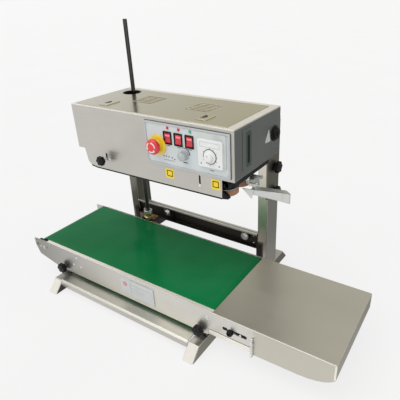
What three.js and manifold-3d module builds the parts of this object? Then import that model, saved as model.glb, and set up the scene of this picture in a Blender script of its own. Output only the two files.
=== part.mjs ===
// Continuous band sealer with a belt conveyor: a sealing head that slides on two posts above a short
// conveyor. Millimetres, +Z up, the long side along X, the operator's side towards -Y. The origin is
// the centre of the object's footprint on the floor.

import * as THREE from 'three';
import * as BufferGeometryUtils from 'three/addons/utils/BufferGeometryUtils.js';
import Module from 'manifold-3d';

const wasm = await Module();
wasm.setup();

// ---------------------------------------------------------------- driving dimensions
const GAP = 0.3;                     // between pieces that touch
const SIDES = 16;                    // facets round a small cylinder
const SHEET = 2;                     // stainless sheet of the casings
const FOOT = { w: 34, h: 36, toe: 284, top: 252, wall: 3 };
const LEFT_X = -380;                 // centre of the left foot and post
const RIGHT_X = 157;                 // centre of the right foot and post
const POST = { w: 34, front: 127, back: 196, top: 530 };
const FRONT = -218;                  // outer face of the conveyor's front plate
const REAR = 58;                     // outer face of the conveyor's rear plate
const PLATE = 2.5;                   // conveyor side plates
const BELT_TOP = 134;
const TABLE_LEFT = 197;              // where the extension table meets the belt
const TABLE_RIGHT = 517.5;
const FRAME_LEFT = -517.5;
const FRAME_RIGHT = 313;
const FRAME_LOW = 53;
const BELT = { t: 2.2, front: -205.2, rear: 53 };
const ROLLER = { r: 23.7, axle: 5, left: -472.3, right: 178.5 };
const ROLLER_Z = BELT_TOP - BELT.t - GAP - ROLLER.r;
const HEAD = { left: -329, right: 207, front: -117, back: 122, low: 452.5, top: 578.9 };
const SHAFT = { x: -261.5, y: 66, r: 6, low: 88, top: 788 };
const MODULE = 2;                    // tooth module of the head's spur gears
const TEETH = { wheel: 31, sleeve: 46, pinion: 16 };
const WHEEL = { r: 29.6, low: 400, high: 418, idleX: 157 };
const REAR_WHEEL_Y = SHAFT.y - MODULE * (TEETH.wheel + TEETH.sleeve) / 2;
const FRONT_WHEEL_Y = REAR_WHEEL_Y - MODULE * TEETH.wheel;
const SEAL_Y = (REAR_WHEEL_Y + FRONT_WHEEL_Y) / 2;
const GEAR_Z = [470, 480];
const BASE_PLATE = { low: 456, high: 460 };
const PANEL = { left: -55, right: 198, low: 459, high: 570, front: -119.3, back: -117.3 };
const ESTOP = { x: -16, z: 511 };
const ROCKER = { xs: [18, 51, 84.5], z: 534, y: -112, w: 18 };
const SPEED = { x: 68, z: 498 };
const PRESSURE = { x: -215, y: -135, z: 436 };
const CLAMP = { y: 158, lower: 314, upper: 389, back: 8.3 };
const THERMO = { x: 147, z: 516.5, half: 34, front: -127 };
const BEVEL = { teeth: 16, m: 1.5, face: 5 };
const CHAIN = { pitch: 6.35, drive: 16, driven: 10, y0: 37.5, y1: 42.5 };

// ---------------------------------------------------------------- materials
const steel = (color, roughness) => new THREE.MeshStandardMaterial({ color, roughness, metalness: 0.9 });
const plain = (color, roughness) => new THREE.MeshStandardMaterial({ color, roughness, metalness: 0 });
const MATERIALS = {
  stainless: steel(0xa9a59a, 0.35),
  lid: steel(0x9d9679, 0.25),
  belt: plain(0x1f7a4a, 0.3),
  black: plain(0x141414, 0.5),
  blackSteel: steel(0x1c1a18, 0.45),
  brightSteel: steel(0xc4c4c4, 0.25),
  aluminium: steel(0xcfd0cc, 0.4),
  brass: steel(0xb99a5a, 0.3),
  ptfe: plain(0xa06a4a, 0.6),
  rubber: plain(0x222222, 0.8),
  panel: plain(0xdce0e8, 0.4),
  red: plain(0xc42a28, 0.35),
  yellow: plain(0xd8c02a, 0.4),
  grey: plain(0xb8bcc4, 0.45),
  white: plain(0xe8e8e4, 0.4),
};

// ---------------------------------------------------------------- geometry helpers
function box(x0, x1, y0, y1, z0, z1) {
  const geometry = new THREE.BoxGeometry(x1 - x0, y1 - y0, z1 - z0);
  return geometry.translate((x0 + x1) / 2, (y0 + y1) / 2, (z0 + z1) / 2);
}

function cylinder(axis, radius, from, to, [a, b], segments = SIDES) {
  const geometry = new THREE.CylinderGeometry(radius, radius, to - from, segments);
  const middle = (from + to) / 2;
  if (axis === 'x') return geometry.rotateZ(Math.PI / 2).translate(middle, a, b);
  if (axis === 'y') return geometry.translate(a, middle, b);
  return geometry.rotateX(Math.PI / 2).translate(a, b, middle);
}

// The radius of a faceted bore that a faceted shaft of this radius turns in at every angle.
function runningBore(radius) {
  return radius / Math.cos(Math.PI / SIDES) + 0.06;
}

function outline(points) {
  return new THREE.Shape(points.map(([a, b]) => new THREE.Vector2(a, b)));
}

function extrude(shape, length) {
  return new THREE.ExtrudeGeometry(shape, { depth: length, bevelEnabled: false, curveSegments: 8 });
}

// The shape's two coordinates become X and Z, and the piece runs from y0 to y1.
function extrudeAlongY(shape, y0, y1) {
  return extrude(shape, y1 - y0).rotateX(Math.PI / 2).translate(0, y1, 0);
}

// The shape's two coordinates become Y and Z, and the piece runs from x0 to x1.
function extrudeAlongX(shape, x0, x1) {
  const turn = new THREE.Matrix4().set(0, 0, 1, x0, 1, 0, 0, 0, 0, 1, 0, 0, 0, 0, 0, 1);
  return extrude(shape, x1 - x0).applyMatrix4(turn);
}

function extrudeAlongZ(shape, z0, z1) {
  return extrude(shape, z1 - z0).translate(0, 0, z0);
}

// A turned piece: pairs of radius and distance along the axis, which starts and ends on the axis.
function turned(axis, profile, segments = SIDES) {
  const points = profile.map(([r, t]) => new THREE.Vector2(r, t));
  const geometry = new THREE.LatheGeometry(points, segments);
  if (axis === 'x') return geometry.rotateZ(-Math.PI / 2);
  if (axis === 'z') return geometry.rotateX(Math.PI / 2);
  return geometry;
}

function toSolid(geometry) {
  const bare = geometry.clone();
  bare.deleteAttribute('normal');
  bare.deleteAttribute('uv');
  const merged = BufferGeometryUtils.mergeVertices(bare, 1e-4);
  const vertProperties = new Float32Array(merged.attributes.position.array);
  const triVerts = new Uint32Array(merged.index.array);
  return new wasm.Manifold(new wasm.Mesh({ numProp: 3, vertProperties, triVerts }));
}

function toGeometry(solid) {
  const mesh = solid.getMesh();
  const geometry = new THREE.BufferGeometry();
  geometry.setAttribute('position', new THREE.BufferAttribute(new Float32Array(mesh.vertProperties), 3));
  geometry.setIndex(new THREE.BufferAttribute(new Uint32Array(mesh.triVerts), 1));
  geometry.computeVertexNormals();
  return geometry;
}

function join(...geometries) {
  return toGeometry(geometries.map(toSolid).reduce((whole, next) => whole.add(next)));
}

function cut(body, ...tools) {
  return toGeometry(tools.map(toSolid).reduce((rest, tool) => rest.subtract(tool), toSolid(body)));
}

// A closed loop band around two equal pulleys, as an outline in the plane of the pulleys.
function loopShape(a, b, centre, radius, thickness) {
  const ring = (r, Path) => {
    const path = new Path();
    path.absarc(b, centre, r, -Math.PI / 2, Math.PI / 2, false);
    path.absarc(a, centre, r, Math.PI / 2, Math.PI * 1.5, false);
    path.closePath();
    return path;
  };
  const shape = ring(radius + thickness, THREE.Shape);
  shape.holes.push(ring(radius, THREE.Path));
  return shape;
}

// Straight-flanked teeth with generous backlash; a tooth is centred at the angle first.
function gearShape(teeth, module, first, bore) {
  const pitch = 2 * Math.PI / teeth;
  const r = teeth * module / 2;
  const root = r - 1.2 * module;
  const tip = r + 0.9 * module;
  const points = [];
  for (let i = 0; i < teeth; i += 1) {
    const middle = first + i * pitch;
    for (const [radius, part] of [[root, -0.3], [tip, -0.1], [tip, 0.1], [root, 0.3]]) {
      const angle = middle + part * pitch;
      points.push([radius * Math.cos(angle), radius * Math.sin(angle)]);
    }
  }
  const shape = outline(points);
  if (bore) shape.holes.push(new THREE.Path().absarc(0, 0, bore, 0, 2 * Math.PI, true));
  return shape;
}

// A straight bevel gear at 45 degrees, its apex at the origin and its large end at z = -r.
function bevelGear(first) {
  const r = BEVEL.teeth * BEVEL.m / 2;
  const large = gearShape(BEVEL.teeth, BEVEL.m, first, 0).getPoints();
  const rings = [1, (r - BEVEL.face) / r];
  const positions = [];
  const index = [];
  const count = large.length - (large[0].equals(large[large.length - 1]) ? 1 : 0);
  for (const scale of rings) {
    for (let i = 0; i < count; i += 1) {
      positions.push(large[i].x * scale, large[i].y * scale, -r * scale);
    }
  }
  positions.push(0, 0, -r, 0, 0, -r * rings[1]);
  const back = 2 * count;
  for (let i = 0; i < count; i += 1) {
    const j = (i + 1) % count;
    index.push(i, j, count + j, i, count + j, count + i);
    index.push(back, j, i, back + 1, count + i, count + j);
  }
  const geometry = new THREE.BufferGeometry();
  geometry.setAttribute('position', new THREE.Float32BufferAttribute(positions, 3));
  geometry.setAttribute('normal', new THREE.Float32BufferAttribute(positions.map(() => 0), 3));
  const flat = new Array(2 * positions.length / 3).fill(0);
  geometry.setAttribute('uv', new THREE.Float32BufferAttribute(flat, 2));
  geometry.setIndex(index);
  return geometry;
}

// A lobed grip, as on a star knob, with its axis along Z.
function starShape(lobes, radius, depth) {
  const points = [];
  const steps = lobes * 4;
  for (let i = 0; i < steps; i += 1) {
    const angle = 2 * Math.PI * i / steps;
    const r = radius - depth * (0.5 - 0.5 * Math.cos(lobes * angle));
    points.push([r * Math.cos(angle), r * Math.sin(angle)]);
  }
  return outline(points);
}

function piece(name, geometry, material) {
  const mesh = new THREE.Mesh(geometry, material);
  mesh.name = name;
  return mesh;
}

function placed(mesh, x, y, z) {
  mesh.position.set(x, y, z);
  return mesh;
}

function group(...meshes) {
  const whole = new THREE.Group();
  whole.add(...meshes);
  return whole;
}

// ---------------------------------------------------------------- stand
function foot(name, x) {
  const inner = FOOT.h - FOOT.wall;
  const side = outline([[-FOOT.toe, 0], [FOOT.toe, 0], [FOOT.top, FOOT.h], [-FOOT.top, FOOT.h]]);
  const hollow = outline([
    [-FOOT.toe - 4, -5], [FOOT.toe + 4, -5], [FOOT.top - 3, inner], [3 - FOOT.top, inner],
  ]);
  const shell = cut(
    extrudeAlongX(side, x - FOOT.w / 2, x + FOOT.w / 2),
    extrudeAlongX(hollow, x - FOOT.w / 2 + FOOT.wall, x + FOOT.w / 2 - FOOT.wall),
  );
  const ribs = [-1, 1].map((end) => box(
    x - FOOT.w / 2 + 1, x + FOOT.w / 2 - 1, end * 262 - 2, end * 262 + 2, 0, 21,
  ));
  return piece(name, join(shell, ...ribs), MATERIALS.stainless);
}

function post(name, x) {
  const half = POST.w / 2;
  const tube = box(x - half, x + half, POST.front, POST.back, FOOT.h + GAP, POST.top);
  const bore = box(x - half + 3, x + half - 3, POST.front + 3, POST.back - 3, FOOT.h - 5, POST.top - 3);
  return piece(name, cut(tube, bore), MATERIALS.stainless);
}

function frontBeam() {
  const left = LEFT_X + FOOT.w / 2 + GAP;
  const right = RIGHT_X - FOOT.w / 2 - GAP;
  const section = outline([
    [-258, 20], [-255, 20], [-255, 35], [-251, 38], [-190, 38],
    [-190, 16], [-187, 16], [-187, 41], [-252, 41], [-258, 36],
  ]);
  return piece('base_front_beam', extrudeAlongX(section, left, right), MATERIALS.stainless);
}

function rearBeam() {
  const left = LEFT_X + POST.w / 2 + GAP;
  const right = RIGHT_X - POST.w / 2 - GAP;
  const section = outline([
    [124, 154], [124, 161], [141, 161], [141, 108], [124, 108], [124, 111],
    [138, 111], [138, 158], [127, 158], [127, 154],
  ]);
  return piece('rear_beam', extrudeAlongX(section, left, right), MATERIALS.blackSteel);
}

// A folded saddle on each foot carries the conveyor between its two upright legs.
function saddle(name, x) {
  const half = FOOT.w / 2;
  const low = FOOT.h + GAP;
  const front = FRONT + PLATE + GAP;
  const floor = box(x - half, x + half, front, REAR + GAP + 3, low, low + 3);
  const frontLeg = box(x - half, x + half, front, front + 4, low, 98);
  const rearLeg = box(x - half, x + half, REAR + GAP, REAR + GAP + 4, low, 98);
  const hole = cylinder('y', 4.4, front - 1, front + 5, [x, 66]);
  return piece(name, cut(join(floor, frontLeg, rearLeg), hole), MATERIALS.blackSteel);
}

// ---------------------------------------------------------------- conveyor
function framePlate(name, outer, inner, flangeEdge) {
  const side = new THREE.Shape();
  side.moveTo(FRAME_LEFT, 131);
  side.lineTo(FRAME_LEFT, 108);
  side.quadraticCurveTo(FRAME_LEFT + 1, 84, FRAME_LEFT + 14, 74);
  side.lineTo(-430, 57);
  side.quadraticCurveTo(-418, FRAME_LOW, -404, FRAME_LOW);
  side.lineTo(181, FRAME_LOW);
  side.lineTo(181, 74);
  side.lineTo(FRAME_RIGHT, 74);
  side.lineTo(FRAME_RIGHT, 131.6);
  side.lineTo(TABLE_LEFT - GAP, 131.6);
  side.lineTo(TABLE_LEFT - GAP, BELT_TOP);
  side.lineTo(-455, BELT_TOP);
  const low = Math.min(outer, inner);
  const high = Math.max(outer, inner);
  const plate = extrudeAlongY(side, low, high);
  const flange = box(-455, TABLE_LEFT - GAP, Math.min(inner, flangeEdge) - 0.1, Math.max(inner, flangeEdge) + 0.1,
    131.7, BELT_TOP);
  const holes = [ROLLER.left, ROLLER.right].map((x) => (
    cylinder('y', runningBore(ROLLER.axle), low - 1, high + 1, [x, ROLLER_Z])
  ));
  if (name.endsWith('front')) {
    for (const x of [LEFT_X, RIGHT_X]) holes.push(cylinder('y', 4.4, low - 1, high + 1, [x, 66]));
    holes.push(box(228, 290, low - 1, high + 1, 96, 102));
  } else {
    holes.push(box(SHAFT.x - 19, SHAFT.x + 19, low - 1, high + 1, 86, 125));
  }
  return piece(name, cut(join(plate, flange), ...holes), MATERIALS.stainless);
}

function sliderBed() {
  const front = FRONT + PLATE + GAP;
  const rear = REAR - PLATE - GAP;
  const top = 131.3;
  const sheet = box(-440, 150, front, rear, top - SHEET, top);
  const lips = [[front, front + SHEET], [rear - SHEET, rear]].map(([y0, y1]) => (
    box(-440, 150, y0, y1, 126, top)
  ));
  return piece('slider_bed', join(sheet, ...lips), MATERIALS.stainless);
}

function conveyorBelt() {
  const loop = loopShape(ROLLER.left, ROLLER.right, ROLLER_Z, ROLLER.r + GAP, BELT.t);
  return piece('conveyor_belt', extrudeAlongY(loop, BELT.front, BELT.rear), MATERIALS.belt);
}

function roller(name, x, rear) {
  const front = FRONT + 0.4;
  const back = REAR - 0.4;
  const body = turned('y', [
    [0, front], [ROLLER.axle, front], [ROLLER.axle, -203], [ROLLER.r, -203], [ROLLER.r, rear],
    [ROLLER.axle, rear], [ROLLER.axle, back], [0, back],
  ], 32);
  const teeth = extrudeAlongZ(sprocketShape(CHAIN.driven), CHAIN.y0, CHAIN.y1).rotateX(-Math.PI / 2);
  const whole = rear < CHAIN.y0 ? join(body, teeth) : body;
  return placed(piece(name, whole, MATERIALS.brightSteel), x, 0, ROLLER_Z);
}

function sprocketRadius(teeth) {
  return CHAIN.pitch / (2 * Math.sin(Math.PI / teeth));
}

function sprocketShape(teeth) {
  const r = sprocketRadius(teeth);
  const points = [];
  for (let i = 0; i < teeth; i += 1) {
    for (const [radius, part] of [[r - 1.8, -0.35], [r + 1.2, -0.1], [r + 1.2, 0.1], [r - 1.8, 0.35]]) {
      const angle = 2 * Math.PI * (i + part) / teeth;
      points.push([radius * Math.cos(angle), radius * Math.sin(angle)]);
    }
  }
  return outline(points);
}

// The chain is a plain loop that hugs both sprockets outside their teeth.
function driveChain() {
  const small = sprocketRadius(CHAIN.driven) + 1.5;
  const large = sprocketRadius(CHAIN.drive) + 1.5;
  const span = SHAFT.x - ROLLER.left;
  const lean = Math.asin((large - small) / span);
  const ring = (extra, Path) => {
    const path = new Path();
    path.absarc(SHAFT.x, ROLLER_Z, large + extra, -Math.PI / 2 - lean, Math.PI / 2 + lean, false);
    path.absarc(ROLLER.left, ROLLER_Z, small + extra, Math.PI / 2 + lean, Math.PI * 1.5 - lean, false);
    path.closePath();
    return path;
  };
  const shape = ring(2, THREE.Shape);
  shape.holes.push(ring(0, THREE.Path));
  return piece('drive_chain', extrudeAlongY(shape, CHAIN.y0 + 0.5, CHAIN.y1 - 0.5), MATERIALS.blackSteel);
}

function crossShaft() {
  const r = BEVEL.teeth * BEVEL.m / 2;
  const gear = bevelGear(Math.PI / 2).rotateX(-Math.PI / 2).translate(0, SHAFT.y, 0);
  const rod = cylinder('y', 5, 20, SHAFT.y - r + BEVEL.face - 0.5, [0, 0]);
  const hub = cylinder('y', 9, SHAFT.y - r - 5, SHAFT.y - r + 1, [0, 0]);
  const sprocket = extrudeAlongZ(sprocketShape(CHAIN.drive), 0, CHAIN.y1 - CHAIN.y0)
    .rotateX(Math.PI / 2).translate(0, CHAIN.y1, 0);
  const shaft = piece('cross_shaft', join(gear, hub, rod, sprocket), MATERIALS.brightSteel);
  return placed(shaft, SHAFT.x, 0, ROLLER_Z);
}

function crossShaftBearing() {
  const block = box(SHAFT.x - 14, SHAFT.x + 14, 24, 34, ROLLER_Z - 14, 129);
  const bore = cylinder('y', runningBore(5), 20, 40, [SHAFT.x, ROLLER_Z]);
  return piece('cross_shaft_bearing', cut(block, bore), MATERIALS.aluminium);
}

function driveShaft() {
  const rod = cylinder('z', SHAFT.r, SHAFT.low, SHAFT.top, [0, 0]);
  const keyway = box(-1.2, 1.2, -SHAFT.r - 1, 1.5 - SHAFT.r, 170, SHAFT.top - 20);
  return placed(piece('drive_shaft', cut(rod, keyway), MATERIALS.blackSteel), SHAFT.x, SHAFT.y, 0);
}

function shaftBevelGear() {
  const r = BEVEL.teeth * BEVEL.m / 2;
  const first = -Math.PI / 2 + Math.PI / BEVEL.teeth;
  const hub = cylinder('z', 9, -r - 5, 1 - r, [0, 0]);
  const bore = cylinder('z', runningBore(SHAFT.r), -40, 10, [0, 0]);
  const gear = cut(join(bevelGear(first), hub), bore);
  return placed(piece('shaft_bevel_gear', gear, MATERIALS.brass), SHAFT.x, SHAFT.y, ROLLER_Z);
}

function shaftBracket() {
  const x0 = SHAFT.x - 26;
  const x1 = SHAFT.x + 26;
  const y0 = REAR + GAP;
  const y1 = SHAFT.y + 26;
  const walls = [
    box(x0, x0 + 3, y0, y1, 80, 141),
    box(x1 - 3, x1, y0, y1, 80, 141),
    box(x0, x1, y1 - 3, y1, 80, 141),
    box(x0, x1, y0, y1, 138, 141),
  ];
  const bore = cylinder('z', 11.3, 130, 150, [SHAFT.x, SHAFT.y]);
  const clearance = box(SHAFT.x - 12, SHAFT.x + 12, y0 - 5, SHAFT.y, 130, 150);
  return piece('shaft_bracket', cut(join(...walls), bore, clearance), MATERIALS.blackSteel);
}

function shaftBush() {
  const body = turned('z', [
    [0, 136], [11, 136], [11, 141.4], [15, 141.4], [15, 146], [11, 148], [11, 160], [0, 160],
  ]);
  const bore = cylinder('z', runningBore(SHAFT.r), 120, 170, [0, 0]);
  return placed(piece('shaft_bush', cut(body, bore), MATERIALS.brass), SHAFT.x, SHAFT.y, 0);
}

function extensionTable() {
  const skirt = new THREE.Shape();
  skirt.moveTo(FRAME_RIGHT + GAP, 132.5);
  skirt.lineTo(FRAME_RIGHT + GAP, 54);
  skirt.lineTo(430, 57);
  skirt.quadraticCurveTo(492, 60, TABLE_RIGHT, 88.5);
  skirt.lineTo(TABLE_RIGHT, 132.5);
  const top = box(TABLE_LEFT, TABLE_RIGHT, FRONT, REAR, BELT_TOP - SHEET, BELT_TOP);
  const front = extrudeAlongY(skirt, FRONT, FRONT + SHEET);
  const rear = extrudeAlongY(skirt, REAR - SHEET, REAR);
  const end = box(TABLE_RIGHT - SHEET, TABLE_RIGHT, FRONT, REAR, 88.5, BELT_TOP - 1);
  const inside = [FRONT + PLATE + 4, REAR - PLATE - 6];
  const tongues = inside.map((y0) => [y0, y0 + 2]).map(([y0, y1]) => (
    box(212, 400, y0, y1, 84, BELT_TOP - 1)
  ));
  return piece('extension_table', join(top, front, rear, end, ...tongues), MATERIALS.stainless);
}

function tableRail() {
  return piece('table_rail', box(182, FRAME_RIGHT - 3, FRONT, FRONT + 12, 55, 73.7), MATERIALS.brightSteel);
}

function starKnob(name, axis, [x, y, z], facing, radius, length, stud, studRadius) {
  const grip = extrudeAlongZ(starShape(6, radius, radius * 0.16), 0, length);
  const boss = cylinder('z', radius * 0.55, -3, 0.5, [0, 0]);
  const screw = cylinder('z', studRadius, -3 - stud, -2.5, [0, 0]);
  const knob = join(grip, boss, screw);
  if (axis === 'y') knob.rotateX(facing < 0 ? Math.PI / 2 : -Math.PI / 2);
  if (axis === 'x') knob.rotateY(facing < 0 ? -Math.PI / 2 : Math.PI / 2);
  return placed(piece(name, knob, MATERIALS.black), x, y, z);
}

// ---------------------------------------------------------------- head carriage
function carriageBar() {
  const bar = box(LEFT_X - 43, RIGHT_X + 43, HEAD.back + 0.4, HEAD.back + 4.4, 465, 535);
  return piece('carriage_bar', bar, MATERIALS.stainless);
}

function slideBracket(name, x, side) {
  const inner = x + side * (POST.w / 2 + 1);
  const outer = inner + side * 4;
  const wide = x + side * 43;
  const sort = (a, b) => [Math.min(a, b), Math.max(a, b)];
  const web = box(...sort(inner, outer), POST.front - 17, POST.back - 12, 300, 448);
  const upper = box(...sort(inner, outer), POST.front - GAP, POST.back - 12, 447, 525);
  const flange = box(...sort(inner, wide), POST.front - GAP, POST.front + 4, 470, 525);
  const span = sort(inner, outer);
  const holes = [CLAMP.lower, CLAMP.upper].map((z) => (
    cylinder('x', 4.4, span[0] - 1, span[1] + 1, [CLAMP.y, z])
  ));
  return piece(name, cut(join(web, upper, flange), ...holes), MATERIALS.blackSteel);
}

function headCasing() {
  const { left, right, front, back, low, top } = HEAD;
  const shell = cut(
    box(left, right, front, back, low, top),
    box(left + SHEET, right - SHEET, front + SHEET, back - SHEET, low - 1, top - SHEET),
    box(-312, 174, -97, 93, top - 5, top + 1),
    box(-46, 189, front - 1, front + SHEET + 1, 466, 563),
  );
  return piece('head_casing', shell, MATERIALS.stainless);
}

function headLid() {
  const low = HEAD.top + GAP;
  const plate = box(-322, 184, -107, 103, low, low + 1.5);
  const hole = cylinder('z', 30, low - 2, low + 4, [SHAFT.x, SHAFT.y], 32);
  const slots = [];
  for (const x of [-187, 0]) {
    for (let i = 0; i < 6; i += 1) slots.push(box(x, x + 74, i * 13 - 20, i * 13 - 17.6, low - 2, low + 4));
  }
  return piece('head_lid', cut(plate, hole, ...slots), MATERIALS.lid);
}

function basePlate() {
  const { low, high } = BASE_PLATE;
  const plate = box(HEAD.left + 2.5, HEAD.right - 2.5, -112, HEAD.back - 2.5, low, high);
  const bores = [
    [SHAFT.x, FRONT_WHEEL_Y, 7], [SHAFT.x, REAR_WHEEL_Y, 7], [SHAFT.x, SHAFT.y, 12],
    [WHEEL.idleX, FRONT_WHEEL_Y, 7], [WHEEL.idleX, REAR_WHEEL_Y, 7],
    [-160, SEAL_Y - 16, 5], [-160, SEAL_Y + 16, 5],
  ].map(([x, y, r]) => cylinder('z', runningBore(r), 450, 465, [x, y]));
  return piece('head_base_plate', cut(plate, ...bores), MATERIALS.stainless);
}

function guardPlate() {
  const edge = outline([
    [-303, 452.2], [-296, 414], [-285, 403], [-262, 400], [171, 404], [187, 410], [172, 452.2],
  ]);
  const sheet = extrudeAlongY(edge, HEAD.front, HEAD.front + 1.6);
  const web = box(-290, 165, HEAD.front + 1.5, HEAD.front + 2.5, 440, 450);
  const strip = box(-290, 165, HEAD.front + 2.4, HEAD.front + 4, 440, 462);
  const slots = [[PRESSURE.x - 4, PRESSURE.x + 4, 430, 449], [104, 110, 427, 438]].map(([x0, x1, z0, z1]) => (
    box(x0, x1, HEAD.front - 1, HEAD.front + 7, z0, z1)
  ));
  return piece('guard_plate', cut(join(sheet, web, strip), ...slots), MATERIALS.stainless);
}

function wheel(name, x, y, teeth, first) {
  const top = teeth ? GEAR_Z[1] + 4 : BASE_PLATE.high + 8;
  const body = turned('z', [
    [0, WHEEL.low - 6], [9, WHEEL.low - 6], [9, WHEEL.low], [WHEEL.r, WHEEL.low], [WHEEL.r, WHEEL.high],
    [12, WHEEL.high], [12, BASE_PLATE.low - 2], [7, BASE_PLATE.low - 2], [7, top], [0, top],
  ], 32);
  const whole = teeth ? join(body, extrudeAlongZ(gearShape(teeth, MODULE, first, 0), ...GEAR_Z)) : body;
  return placed(piece(name, whole, teeth ? MATERIALS.brightSteel : MATERIALS.aluminium), x, y, 0);
}

function sleeveGear() {
  const first = -Math.PI / 2 + Math.PI / TEETH.sleeve;
  const sleeve = cylinder('z', 12, BASE_PLATE.low - 8, GEAR_Z[1] + 14, [0, 0]);
  const teeth = extrudeAlongZ(gearShape(TEETH.sleeve, MODULE, first, 0), ...GEAR_Z);
  const bore = cylinder('z', runningBore(SHAFT.r), 400, 520, [0, 0]);
  const gear = piece('sleeve_gear', cut(join(sleeve, teeth), bore), MATERIALS.brightSteel);
  return placed(gear, SHAFT.x, SHAFT.y, 0);
}

// The motor's pinion meshes with the rear wheel's gear on its +X side.
function motorPinion() {
  const wheelPitch = 2 * Math.PI / TEETH.wheel;
  const nearest = Math.PI / 2 % wheelPitch;
  const contact = Math.PI - nearest * TEETH.wheel / TEETH.pinion;
  const teeth = gearShape(TEETH.pinion, MODULE, contact + Math.PI / TEETH.pinion, 0);
  const rod = cylinder('z', 6, GEAR_Z[0] - 2, 489, [0, 0]);
  const x = SHAFT.x + MODULE * (TEETH.wheel + TEETH.pinion) / 2;
  const mesh = piece('motor_pinion', join(extrudeAlongZ(teeth, ...GEAR_Z), rod), MATERIALS.brightSteel);
  return placed(mesh, x, REAR_WHEEL_Y, 0);
}

function gearMotor() {
  const x = SHAFT.x + MODULE * (TEETH.wheel + TEETH.pinion) / 2;
  const y = REAR_WHEEL_Y;
  const gearbox = box(x - 28, x + 40, y - 26, y + 40, 492, 552);
  const legs = [[x - 12, y - 26], [x + 32, y - 26], [x + 32, y + 32]].map(([a, b]) => (
    box(a, a + 8, b, b + 8, BASE_PLATE.high + GAP, 493)
  ));
  const motor = cylinder('x', 27, x + 39, x + 165, [y + 7, 522], 24);
  return piece('gear_motor', join(gearbox, ...legs, motor), MATERIALS.blackSteel);
}

function band(name, y) {
  const loop = loopShape(SHAFT.x, WHEEL.idleX, y, WHEEL.r + GAP, 0.7);
  return piece(name, extrudeAlongZ(loop, WHEEL.low + 1.5, WHEEL.high - 1.5), MATERIALS.ptfe);
}

// A block that presses on the band's inner run, hung from the base plate by two pins.
function pressBlock(name, x0, x1, side) {
  const near = SEAL_Y + side * 1.6;
  const far = SEAL_Y + side * 17;
  const body = box(x0, x1, Math.min(near, far), Math.max(near, far), WHEEL.low, WHEEL.high);
  const pins = [x0 + 14, x1 - 14].map((x) => (
    cylinder('z', 4, WHEEL.high - 1, BASE_PLATE.low - GAP, [x, SEAL_Y + side * 10], 8)
  ));
  return piece(name, join(body, ...pins), MATERIALS.brass);
}

function pressWheel(name, side) {
  const body = turned('z', [
    [0, WHEEL.low], [14.2, WHEEL.low], [14.2, WHEEL.high], [5, WHEEL.high], [5, BASE_PLATE.high + 6],
    [0, BASE_PLATE.high + 6],
  ]);
  return placed(piece(name, body, MATERIALS.rubber), -160, SEAL_Y + side * 16, 0);
}

// The bag's mouth enters through this channel, whose slot opens downwards.
function infeedGuide() {
  const channel = outline([
    [-53, 398], [-49, 398], [-49, 419], [-35, 419], [-35, 400], [-31, 400], [-31, 422], [-53, 422],
  ]);
  const bar = join(extrudeAlongX(channel, 214, 300), box(299, 319, -53, -49, 398, 422));
  const arm = box(196, 232, -46, -38, 421, 425);
  const hanger = box(196, 204, -46, -38, 424, BASE_PLATE.low - GAP);
  return piece('infeed_guide', join(bar, arm, hanger), MATERIALS.aluminium);
}

// ---------------------------------------------------------------- controls
function controlPanel() {
  const plate = box(PANEL.left, PANEL.right, PANEL.front, PANEL.back, PANEL.low, PANEL.high);
  const front = PANEL.front - 1;
  const back = PANEL.back + 1;
  const holes = ROCKER.xs.map((x) => box(x - 9.6, x + 9.6, front, back, ROCKER.z - 14.2, ROCKER.z + 14.2));
  holes.push(cylinder('y', 11.3, front, back, [ESTOP.x, ESTOP.z], 24));
  holes.push(cylinder('y', 4.3, front, back, [SPEED.x, SPEED.z]));
  holes.push(box(THERMO.x - 29.3, THERMO.x + 29.3, front, back, THERMO.z - 29.3, THERMO.z + 29.3));
  return piece('control_panel', cut(plate, ...holes), MATERIALS.panel);
}

function estopBase() {
  const body = turned('y', [
    [0, -127], [13, -127], [14, -123], [24, -122.5], [27, -120.6],
    [27, -119.6], [11, -119.6], [11, -98], [0, -98],
  ]);
  const bore = cylinder('y', runningBore(6), -140, -90, [0, 0]);
  return placed(piece('estop_base', cut(body, bore), MATERIALS.yellow), ESTOP.x, 0, ESTOP.z);
}

function estopButton() {
  const body = turned('y', [
    [0, -147], [8, -147], [16, -145.5], [20, -142], [20, -134],
    [17, -131.5], [6, -131.5], [6, -104], [0, -104],
  ]);
  return placed(piece('estop_button', body, MATERIALS.red), ESTOP.x, 0, ESTOP.z);
}

function rocker(index) {
  const side = outline([
    [-9.5, -12], [-9.5, -11], [-8, 0], [-9.5, 11], [-9.5, 12], [-2, 12], [5, 7], [5, -7], [-2, -12],
  ]);
  const body = extrudeAlongX(side, -ROCKER.w / 2, ROCKER.w / 2);
  const mesh = piece(`rocker_switch_${index + 1}`, body, MATERIALS.red);
  return placed(mesh, ROCKER.xs[index], ROCKER.y, ROCKER.z);
}

function speedKnob() {
  const body = turned('y', [
    [0, -136], [9.5, -136], [10.5, -135], [12, -122], [12, -119.8], [3.8, -119.8], [3.8, -108], [0, -108],
  ]);
  const pointer = box(-0.8, 0.8, -136.6, -134, 3, 9.8);
  return placed(piece('speed_knob', join(body, pointer), MATERIALS.grey), SPEED.x, 0, SPEED.z);
}

function thermostatBody() {
  const { x, z, half, front } = THERMO;
  const face = box(x - half, x + half, front, -119.6, z - half, z + half);
  const back = box(x - 29, x + 29, -120, -92, z - 29, z + 29);
  const bore = cylinder('y', 4.2, -130, -112, [x, z - 6]);
  return piece('thermostat', cut(join(face, back), bore), MATERIALS.white);
}

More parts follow.
